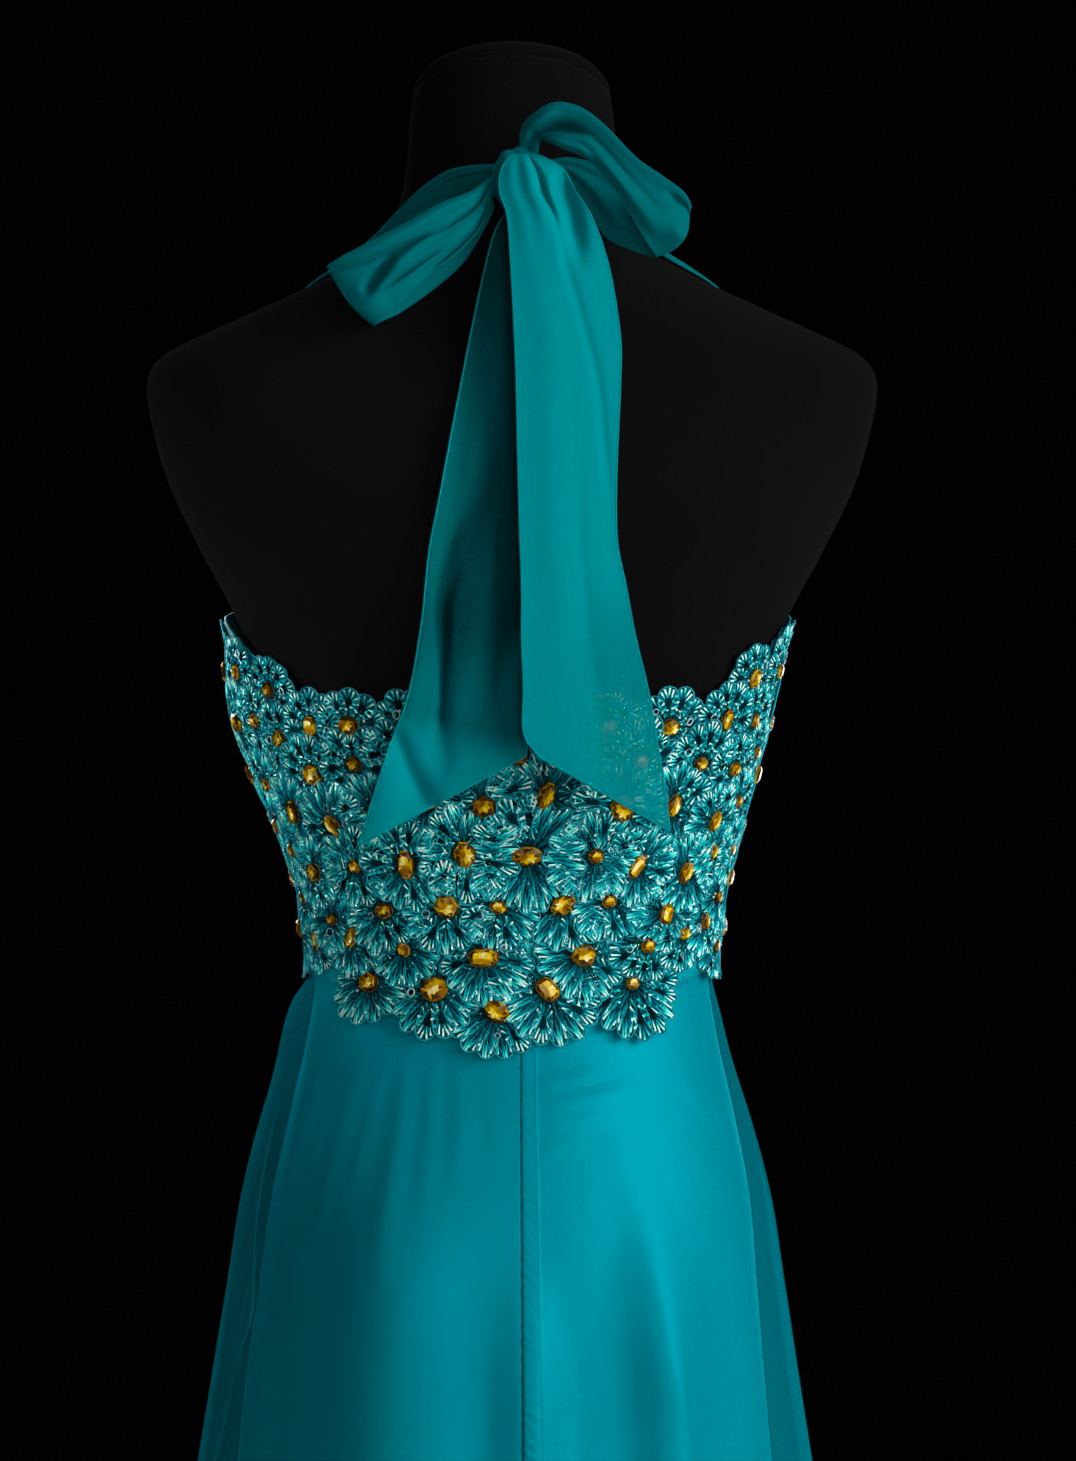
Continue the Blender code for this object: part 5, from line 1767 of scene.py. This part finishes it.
def inside(point, outline):
    """True if the point lies within the outline."""
    crossings = False
    for (x0, y0), (x1, y1) in zip(outline, outline[1:] + outline[:1]):
        if (y0 > point[1]) != (y1 > point[1]) and point[0] < x0 + (point[1] - y0) * (x1 - x0) / (y1 - y0):
            crossings = not crossings
    return crossings


def foundation(first, last):
    """The outline of a bodice piece without its flowers, as angles and heights."""
    steps = round((last - first) / 3)
    angles = [first + (last - first) * i / steps for i in range(steps + 1)]
    lowest = edge_height(BOTTOM_EDGE, last)
    rise = edge_height(TOP_EDGE, last) - lowest
    side = [lowest + rise * i / 24 for i in range(1, 24)]
    band = [(a, edge_height(BOTTOM_EDGE, a)) for a in angles]
    band += [(last, z) for z in side]
    band += [(a, edge_height(TOP_EDGE, a)) for a in reversed(angles)]
    return band + [(first, z) for z in reversed(side)]


def joined(shapes):
    """The flat outline of all these shapes together."""
    places, faces = [], []
    for shape in shapes:
        faces.append(list(range(len(places), len(places) + len(shape))))
        places += [flat(p) for p in shape]
    places, _, triangles, _, _, _ = delaunay_2d_cdt(places, [], faces, 1, 1e-6)
    uses = dict.fromkeys(side for t in triangles for side in zip(t, t[1:] + t[:1]))
    follows = {a: b for a, b in uses if (b, a) not in uses}
    start = min(follows, key=lambda i: (places[i].x, places[i].y))
    loop, at = [places[start]], follows[start]
    while at != start:
        if (places[at] - loop[-1]).length > 0.0009:
            loop.append(places[at])
        at = follows[at]
    return loop


def ground_outline(first, last, chosen, all_flowers):
    """The outline of a bodice piece: its foundation joined with the flowers that reach over its edges."""
    shapes = [foundation(first, last)]
    for flower in chosen:
        outline = flower_outline(flower, neighbours(flower, all_flowers), 0.93)
        outline = [(min(max(a, first), last), z) for a, z in outline]
        over_edge = any(not edge_height(BOTTOM_EDGE, a) < z < edge_height(TOP_EDGE, a) for a, z in outline)
        if over_edge and first + 6 < flower["angle"] < last - 6:
            shapes.append(outline)
    return joined(shapes)


def ground_piece(name, first, last, chosen, all_flowers, finish):
    """The foundation of a bodice piece, a thin wall with scalloped edges."""
    loop = ground_outline(first, last, chosen, all_flowers)
    outline = [tuple(p) for p in loop]
    grid = []
    for i in range(round((last - first) * FLAT_DEGREE / GROUND_STEP)):
        for j in range(round(0.36 / GROUND_STEP)):
            x = first * FLAT_DEGREE + (i + 0.5 * (j % 2)) * GROUND_STEP
            place = Vector((x, 1.0 + j * GROUND_STEP))
            if inside(place, outline) and all((place - p).length > 0.6 * GROUND_STEP for p in loop):
                grid.append(place)
    places, _, faces, _, _, _ = delaunay_2d_cdt(loop + grid, [], [list(range(len(loop)))], 1, 1e-7)
    points = [bodice_point(p[0] / FLAT_DEGREE, p[1], 0) for p in places]
    mesh = mesh_of(name, points, faces)
    layer = mesh.uv_layers.new(name="weave")
    for corner in mesh.loops:
        layer.data[corner.index].uv = places[corner.vertex_index]
    return wall(piece(name, mesh, finish), GROUND_WALL, 1)


def sewn_shapes(rng):
    """The shapes that are sewn on, by name."""
    shapes = {name: bpy.data.collections.new("shapes_" + name) for name in SEWN_ON}
    for name, ribs in (("a", 12), ("b", 11), ("c", 12)):
        eyelet_petal("petal_" + name, shapes["petals"], rng, ribs)
    for name, ribs in (("d", 8), ("e", 9), ("f", 8)):
        fan_petal("petal_" + name, shapes["petals"], rng, ribs)
    rim_cord("rim", shapes["cords"])
    centre_stitch("stitch", shapes["stitches"])
    for cut, kinds in CUTS.items():
        for kind in kinds:
            aside = (0.10 * rng.random() - 0.05, 0.10 * rng.random() - 0.05)
            cut_stone("stone_" + chr(ord("a") + kind), cut, shapes["stones"], rng, aside)
    claw_setting("setting", shapes["settings"])
    seed_bead("bead", shapes["beads"])
    cup_sequin("cup", shapes["rings"])
    return shapes


def applique(finishes):
    """Both bodice pieces with all that is sewn on them."""
    rng = random.Random(11)
    found = flowers()
    shapes, cloth, tree = sewn_shapes(rng), cloth_map(), applique_tree()
    sides = (
        ("back", -SIDE_SEAM, SIDE_SEAM, [f for f in found if f["angle"] < SIDE_SEAM]),
        ("front", SIDE_SEAM, 360 - SIDE_SEAM, [f for f in found if f["angle"] >= SIDE_SEAM]),
    )
    pieces = {}
    for side, first, last, chosen in sides:
        rows = applique_points(chosen, found, rng)
        edges = (first + SEAM_TURN, last - SEAM_TURN)
        ground = ground_piece("bodice_" + side + "_cloth", *edges, chosen, found, finishes["ground"])
        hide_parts("bodice_" + side)
        parts = []
        for kind, of_kind in rows.items():
            values = {"Shapes": shapes[kind], "Cloth": cloth, "Relief": 1.0, "Seed": 5}
            mesh = point_mesh(kind, of_kind)
            parts.append(tree.use("applique_" + kind + "_" + side, mesh, Finish=finishes[kind], **values))
        pieces[side] = (ground, parts)
    bpy.data.objects.remove(cloth)
    return pieces


# The skirts


def skirt_rows(hem):
    """Heights of the rings of a skirt: close together by the waist, wider apart lower down."""
    heights = [SKIRT_TOP - 0.004 * i for i in range(79)]
    while heights[-1] > hem + 0.020:
        heights.append(heights[-1] - 0.016)
    heights[-1] = hem
    return heights[::-1]


def panel_angles(first, last, step):
    """Angles across a panel, close together beside the centre back seam."""
    first, last = first + SEAM_TURN, last - SEAM_TURN
    fine = [0.35 * i for i in range(24)]
    if abs(first - CENTRE_BACK_SEAM) < 0.5:
        start = [first + a for a in fine]
        rest = round((last - start[-1]) / step)
        return start + [start[-1] + (last - start[-1]) * (i + 1) / rest for i in range(rest)]
    if abs(last - CENTRE_BACK_SEAM) < 0.5:
        end = [last - a for a in reversed(fine)]
        rest = round((end[0] - first) / step)
        return [first + (end[0] - first) * i / rest for i in range(rest)] + end
    columns = round((last - first) / step)
    return [first + (last - first) * i / columns for i in range(columns + 1)]


def skirts(finishes):
    seams = (
        ("back_left", -SIDE_SEAM, CENTRE_BACK_SEAM),
        ("back_right", CENTRE_BACK_SEAM, SIDE_SEAM),
        ("front", SIDE_SEAM, 360 - SIDE_SEAM),
    )
    layers = (
        ("skirt_", "satin_", satin_size, SATIN_DRAPES, SATIN_WALL, SATIN_HEM, 2.4, "satin"),
        ("overskirt_", "chiffon_", chiffon_size, SHEER_FOLDS, SHEER_WALL, CHIFFON_HEM, 1.1, "chiffon"),
    )
    pieces = {}
    for node, label, size, own_folds, thickness, hem, step, finish in layers:
        for place, first, last in seams:
            rows, painted_groove_shades, puckers = [], [], []
            angles = panel_angles(first, last, step)
            for z in skirt_rows(hem):
                row = []
                for a in angles:
                    aside = turn_between(a, CENTRE_BACK_SEAM) * ROUND_A_DEGREE
                    # How much painted shade darkens the groove of the seam here
                    painted_groove_shades.append(bell(aside / GROOVE_HALF_WIDTH) * (0.75 + 0.25 * math.sin(700 * z)))
                    puckers.append(bell((aside - PUCKER_MIDDLE) / PUCKER_SHOWN))
                    turned, lifted = pleated(a, z) if finish == "chiffon" else (0.0, 0.0)
                    a += turned
                    rise = skirt_relief(a, z) + draped(own_folds, a, z) + lifted
                    row.append(oval_point(a, z, *size(a, z, rise)))
                rows.append(row)
            names, stored = (node + place, label + place), {"groove": painted_groove_shades, "pucker": puckers}
            pieces[node + place] = sheet(*names, rows, finishes[finish], thickness, 1, **stored)
    return pieces


def seam_sewing(tree, shapes, finishes):
    """The stitches beside the centre back seam, and those of both hems."""

    def sew(name, line, outward, spacing, seed):
        values = {"Shapes": shapes, "Spacing": spacing, "Seed": seed, "Finish": finishes["sewing"]}
        return tree.use(name, line_mesh(name, line, outward), **values)

    angle = CENTRE_BACK_SEAM + (ALLOWANCE - 0.0002) / ROUND_A_DEGREE
    line = []
    for i in range(162):
        z = 0.05 + 0.006 * i
        line.append(oval_point(angle, z, *chiffon_size(angle, z, SHEER_WALL + skirt_relief(angle, z))))
    seam = sew("seam_stitches", line, [Vector((0.05, -1.0, 0.0)).normalized()] * len(line), 0.0034, 3)
    hems = []
    for name, size, hem, thickness in (
        ("satin_hem_stitches", satin_size, SATIN_HEM, SATIN_WALL),
        ("chiffon_hem_stitches", chiffon_size, CHIFFON_HEM, SHEER_WALL),
    ):
        height = hem + HEM_DEPTH
        line = [oval_point(i, height, *size(i, height, thickness)) for i in range(361)]
        outward = [Vector((point.x, point.y, 0)).normalized() for point in line]
        hems.append(sew(name, line, outward, 0.0044, 4))
    return seam, *hems


# The bow and the straps


def crease(creases, at, share):
    """How far the creases move the ribbon here, in millimetres."""
    moved = 0.0
    for row0, share0, row1, share1, wide, high in creases:
        along = (at - row0) / (row1 - row0)
        if -0.3 < along < 1.3:
            line = share0 + (share1 - share0) * along
            ends = eased(along, -0.18, 0.22) * eased(along, 1.18, 0.75)
            moved += high * ends * bell((share - line) / wide)
    return moved


def clear_of_form(point):
    """The point moved out, where it must be, to lie on the form or on the flowers of the bodice."""
    half_width = body_size(0, point.z, 0)[0]
    power = smooth(FORM_SECTIONS, 4, point.z) / 2
    share = min(abs(point.x) / half_width, 0.95)
    angle = math.copysign(math.asin(share ** power), point.x) / DEGREE
    surface = body_point(angle, point.z, ON_FORM + FLOWERS_THICK * eased(point.z, 1.224, 1.212))
    point.y = min(point.y, surface.y)
    return point


def cloth_layers(name, at, share):
    """How nearly the chiffon of a ribbon is doubled here, and how much painted shade darkens its colour: it
    stands for the right tail's shadow and the folds' shade, and for the dark form seen through a single
    layer.
    """
    if name == "bow_tail_right":
        return 1 - 0.40 * eased(at, 9.4, 11.8) * eased(share, 0.35, 0.80), 0.0
    if name == "bow_tail_left":
        line, soft = smooth(LEFT_TAIL_FOLD, 1, at), smooth(LEFT_TAIL_FOLD, 2, at)
        # Painted light and shade: lighter left of the folded edge, along a strip down the middle and towards
        # the end, and painted shade over the rest
        light = 0.14 + 0.20 * eased(share, line + soft, line - soft) * eased(at, 2, 6)
        light += 0.06 * bell((share - 0.46) / 0.16) * eased(at, 5.5, 7.5)
        light += 0.16 * eased(at, 7.9, 9.1) + 0.38 * eased(at, 9.2 + share, 10.0 + share)
        layers = 0.50 + 0.50 * eased(at, 7.2, 8.4)
        return layers, 1 - min(light / (0.10 + 0.90 * layers), 1)
    return 1.0, 0.0


def ribbon(name, table, creases, steps, across, ripple, crown, proud, tip, bulge, finish):
    """A ribbon of the bow through the rows of its table, with soft folds and creases along it."""
    rows_at = [(i, *row) for i, row in enumerate(table)]
    rows, layers, painted_shades = [], [], []
    for i in range(steps + 1):
        at = i * (len(table) - 1) / steps
        x0, z0, x1, z1, near = [smooth(rows_at, c, at) / 1000 for c in range(1, 6)]
        width = math.hypot(x1 - x0, z1 - z0)
        pinch = eased(at, -0.5, 2.5)
        row = []
        for k in range(across + 1):
            share = k / across
            fold = ripple * width * math.sin(3 * math.pi * share + 0.25 * at)
            fold += crease(creases, at, share) / 1000 * (0.35 + 0.65 * pinch)
            bow = crown * width * math.sin(math.pi * share) + proud * (1 - share) ** 2 * eased(at, 2, 6)
            x, z = x0 + (x1 - x0) * share, z0 + (z1 - z0) * share
            out = bulge * math.sin(math.pi * share ** 1.3) * bell((at - tip) / 1.1)
            away = Vector((x, 0, z)).normalized() * out
            point = KNOT + away + Vector((x, -near - bow - fold, z))
            row.append(clear_of_form(point) if "tail" in name else point)
            # depth is the painted shade that darkens the ribbon's colour here
            doubled, depth = cloth_layers(name, at, share)
            layers.append(doubled)
            painted_shades.append(depth)
        rows.append(row)
    return sheet(name, name + "_cloth", rows, finish, TIE_WALL, 0, layers=layers, depth=painted_shades), rows


def knot(finish):
    rows = []
    around, along = 40, 16
    for i in range(along + 1):
        lean = math.pi * (0.10 + 0.80 * i / along)
        row = []
        for k in range(around + 1):
            turn = 2 * math.pi * k / around * 0.985
            gather = 1 + 0.05 * math.cos(9 * lean + 0.6 * math.sin(3 * turn)) + 0.03 * math.cos(5 * turn)
            spot = Vector((math.cos(lean), math.sin(lean) * math.cos(turn), math.sin(lean) * math.sin(turn)))
            row.append(KNOT + KNOT_SIZE * gather * spot)
        rows.append(row)
    return sheet("bow_knot", "bow_knot_cloth", rows, finish, TIE_WALL, -1)


def bow(finishes, edge_tree):
    """The knot, its two loops and its two hanging tails, with their rolled edges."""
    pieces = {"bow_knot": knot(finishes["tie"])}
    ribbons = (
        ("bow_loop_left", LEFT_LOOP, LEFT_LOOP_CREASES, (96, 40, 0.05, 0.10, 0, 6, 0.003), "tie"),
        ("bow_loop_right", RIGHT_LOOP, RIGHT_LOOP_CREASES, (112, 40, 0.05, 0.10, 0, 9, 0.008), "tie"),
        ("bow_tail_right", RIGHT_TAIL, RIGHT_TAIL_CREASES, (120, 60, 0, 0.07, 0.007, 0, 0), "tail"),
        ("bow_tail_left", LEFT_TAIL, LEFT_TAIL_CREASES, (110, 54, 0, 0.02, 0, 0, 0), "tail"),
    )
    hems = {}
    for name, table, creases, sizes, finish in ribbons:
        pieces[name], rows = ribbon(name, table, creases, *sizes, finishes[finish])
        if "tail" in name:
            edge = [row[0] for row in rows] + rows[-1][1:] + [row[-1] for row in rows[-2::-1]]
            values = {"Thickness": 0.0006, "Seed": 1, "Finish": finishes["hem"]}
            hems[name] = [edge_tree.use(name + "_edge", line_mesh(name + "_line", edge), **values)]
    return pieces, hems


def halter_straps(finishes):
    """Gathered straps that lie on the form from each cup to the knot."""
    steps, across = 110, 44
    rows_at = [(i, *row) for i, row in enumerate(STRAP)]
    pieces = {}
    for name, side in (("strap_left", -1), ("strap_right", 1)):
        rows = []
        for i in range(steps + 1):
            at = i * (len(STRAP) - 1) / steps
            angle, height, half_angle, half_height, off = [smooth(rows_at, c, at) for c in range(1, 6)]
            row = []
            for k in range(across + 1):
                share = 2 * k / across - 1
                gather = 0.0
                for g, line in enumerate(STRAP_GATHERS):
                    wander = line + 0.03 * math.sin(0.9 * at + 2 * g)
                    near = bell((k / across - wander) / 0.045)
                    gather += near * (0.0024 + 0.0008 * math.sin(1.7 * g)) * eased(at, 2.0 + 0.5 * (g % 3), 8)
                place = (side * (angle + half_angle * share), height + half_height * share)
                point = body_point(*place, off + gather)
                point.x += KNOT.x * eased(at, 8, 12)
                row.append(point)
            rows.append(row if side > 0 else row[::-1])
        pieces[name] = sheet(name, name + "_cloth", rows, finishes["tie"], TIE_WALL, 1)
    return pieces


# The form


def neck_ring(angles, height, half_width, back, front, slant, up, inset):
    """A ring of the neck, higher at the back than at the front by its slant."""
    middle = (front - back) / 2
    ring = []
    for angle in angles:
        point = oval_point(angle, TORSO_TOP, half_width - inset, back - inset, front - inset)
        point.z = height + up - slant * (point.y - middle)
        ring.append(point)
    return ring


def dress_form(frame, finishes):
    """Jersey over the torso and the neck cap, and the finish of the stand."""
    angles = [3 * i for i in range(120)]
    lowest = FORM_SECTIONS[0][0]
    rings = [[body_point(a, lowest, -0.014) for a in angles]]
    for point in rings[0]:
        point.z = FORM_BOTTOM
    rings.append([body_point(a, lowest, -0.004) - Vector((0, 0, 0.007)) for a in angles])
    heights = [lowest + (TORSO_TOP - lowest) * i / 110 for i in range(111)]
    rings += [[body_point(a, z, -FORM_INSET) for a in angles] for z in heights]
    table = [(i, *sizes) for i, sizes in enumerate([(TORSO_TOP, 0.0618, 0.0500, 0.0560, 0.0), *NECK_RINGS])]
    for i in range(1, 16):
        rings.append(neck_ring(angles, *[smooth(table, c, i / 5) for c in range(1, 6)], 0, 0))
    torso = piece("form_jersey", loft("form_jersey", rings), finishes["jersey"])
    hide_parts("form_torso")
    rings = [neck_ring(angles, *NECK_RINGS[-1], up, inset) for up, inset in CAP_RINGS]
    cap = piece("neck_cap_jersey", loft("neck_cap_jersey", rings), finishes["jersey"])
    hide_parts("form_neck_cap")
    for name in ("form_pole", "form_base"):
        node = frame["nodes"][name]
        node.data.materials.clear()
        node.data.materials.append(finishes["steel"])
    return torso, cap


# The studio


def add_light(name, place, target, size, power, spread=180.0):
    """A soft round light, narrowed to a beam by its spread."""
    lamp = bpy.data.lights.new(name, "AREA")
    lamp.shape = "DISK"
    lamp.size = size
    lamp.energy = power
    lamp.spread = spread * DEGREE
    made = bpy.data.objects.new(name, lamp)
    made.location = place
    made.rotation_euler = (Vector(target) - Vector(place)).to_track_quat("-Z", "Y").to_euler()
    made.visible_camera = False
    bpy.context.scene.collection.objects.link(made)


def studio():
    """A plain pale floor, soft lights all round, and a dim plain surround."""
    size = 1.6
    corners = [(-size, -size, 0), (size, -size, 0), (size, size, 0), (-size, size, 0)]
    finish = Finish("pale_floor", Base_Color=(0.62, 0.61, 0.59, 1), Roughness=0.8).material
    floor = piece("floor", mesh_of("floor", corners, [(0, 1, 2, 3)], False), finish)
    world = bpy.data.worlds.new("studio")
    world.use_nodes = True
    backing = world.node_tree.nodes["Background"]
    backing.inputs["Color"].default_value = (0.0005, 0.0005, 0.0006, 1)
    bpy.context.scene.world = world
    add_light("key", (2.22, -1.50, 1.80), (0.02, 0, 0.98), 1.8, 72)
    add_light("fill", (-2.1, -2.2, 1.7), (0, 0, 1.15), 1.4, 4)
    add_light("beam", (-2.5, -1.2, 1.7), (-0.16, 0, 1.24), 0.30, 0.2, 8.0)
    add_light("soft", (0.6, -3.0, 1.4), (0, 0, 1.00), 1.5, 22)
    add_light("top", (0.1, 0.1, 3.1), (0, 0, 1.3), 1.0, 6)
    add_light("front_key", (-1.1, 2.3, 1.9), (0, 0, 1.0), 1.3, 50)
    add_light("front_fill", (1.0, 2.7, 1.2), (0, 0, 0.9), 1.5, 22)


def camera():
    """The photograph's place and framing."""
    lens = bpy.data.cameras.new("camera")
    half_height = METRES_A_PIXEL * PHOTO_HEIGHT / 2
    lens.sensor_width = SENSOR
    lens.lens = SENSOR / 2 / (half_height / -CAMERA_PLACE.y)
    lens.clip_end = 50
    made = bpy.data.objects.new("camera", lens)
    made.location = CAMERA_PLACE
    made.rotation_euler = (math.pi / 2, 0, 0)
    bpy.context.scene.collection.objects.link(made)
    bpy.context.scene.camera = made


# The whole dress


def all_finishes():
    thread = thread_finish()
    return {
        "jersey": jersey_finish(),
        "steel": steel_finish(),
        "satin": satin_finish(),
        "chiffon": chiffon_finish("sheer_chiffon", CHIFFON_TEAL, 0.25, (420.0, 7.0)),
        # The knot, loops and straps: the tails' chiffon darkened to about half its colour, a painted shade
        "tie": chiffon_finish("tie_chiffon", shade(TIE_TEAL, 0.52), 1.0, (300.0, 9.0)),
        # The tails' chiffon, with the painted shade stored on the left tail
        "tail": chiffon_finish("tail_chiffon", TIE_TEAL, 1.0, (300.0, 9.0), layered_with_painted_shade=True),
        "hem": chiffon_finish("rolled_hem", TIE_TEAL, 1.0, (300.0, 9.0)),
        "ground": ground_finish(),
        "petals": thread,
        "stitches": thread,
        "cords": cord_finish(),
        "stones": stone_finish(),
        "settings": setting_finish(),
        "beads": bead_finish(),
        "rings": sequin_finish(),
        "sewing": sewing_finish(),
    }


def main():
    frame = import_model()
    camera()
    studio()
    finishes = all_finishes()
    torso, cap = dress_form(frame, finishes)
    pieces = {**skirts(finishes), **halter_straps(finishes)}
    ribbons, extras = bow(finishes, rolled_edge_tree())
    pieces.update(ribbons)
    shapes = bpy.data.collections.new("shapes_sewing")
    sewn_stitch("sewn", shapes)
    seam, satin_hem, chiffon_hem = seam_sewing(stitching_tree(), shapes, finishes)
    extras["overskirt_back_right"] = [seam, chiffon_hem]
    extras["skirt_front"] = [satin_hem]
    for side, (ground, parts) in applique(finishes).items():
        pieces["bodice_" + side] = ground
        extras["bodice_" + side] = parts
    for thing in [torso, cap, *pieces.values(), *[e for some in extras.values() for e in some]]:
        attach(thing, "root")
    bpy.context.scene.view_settings.view_transform = "Standard"


main()
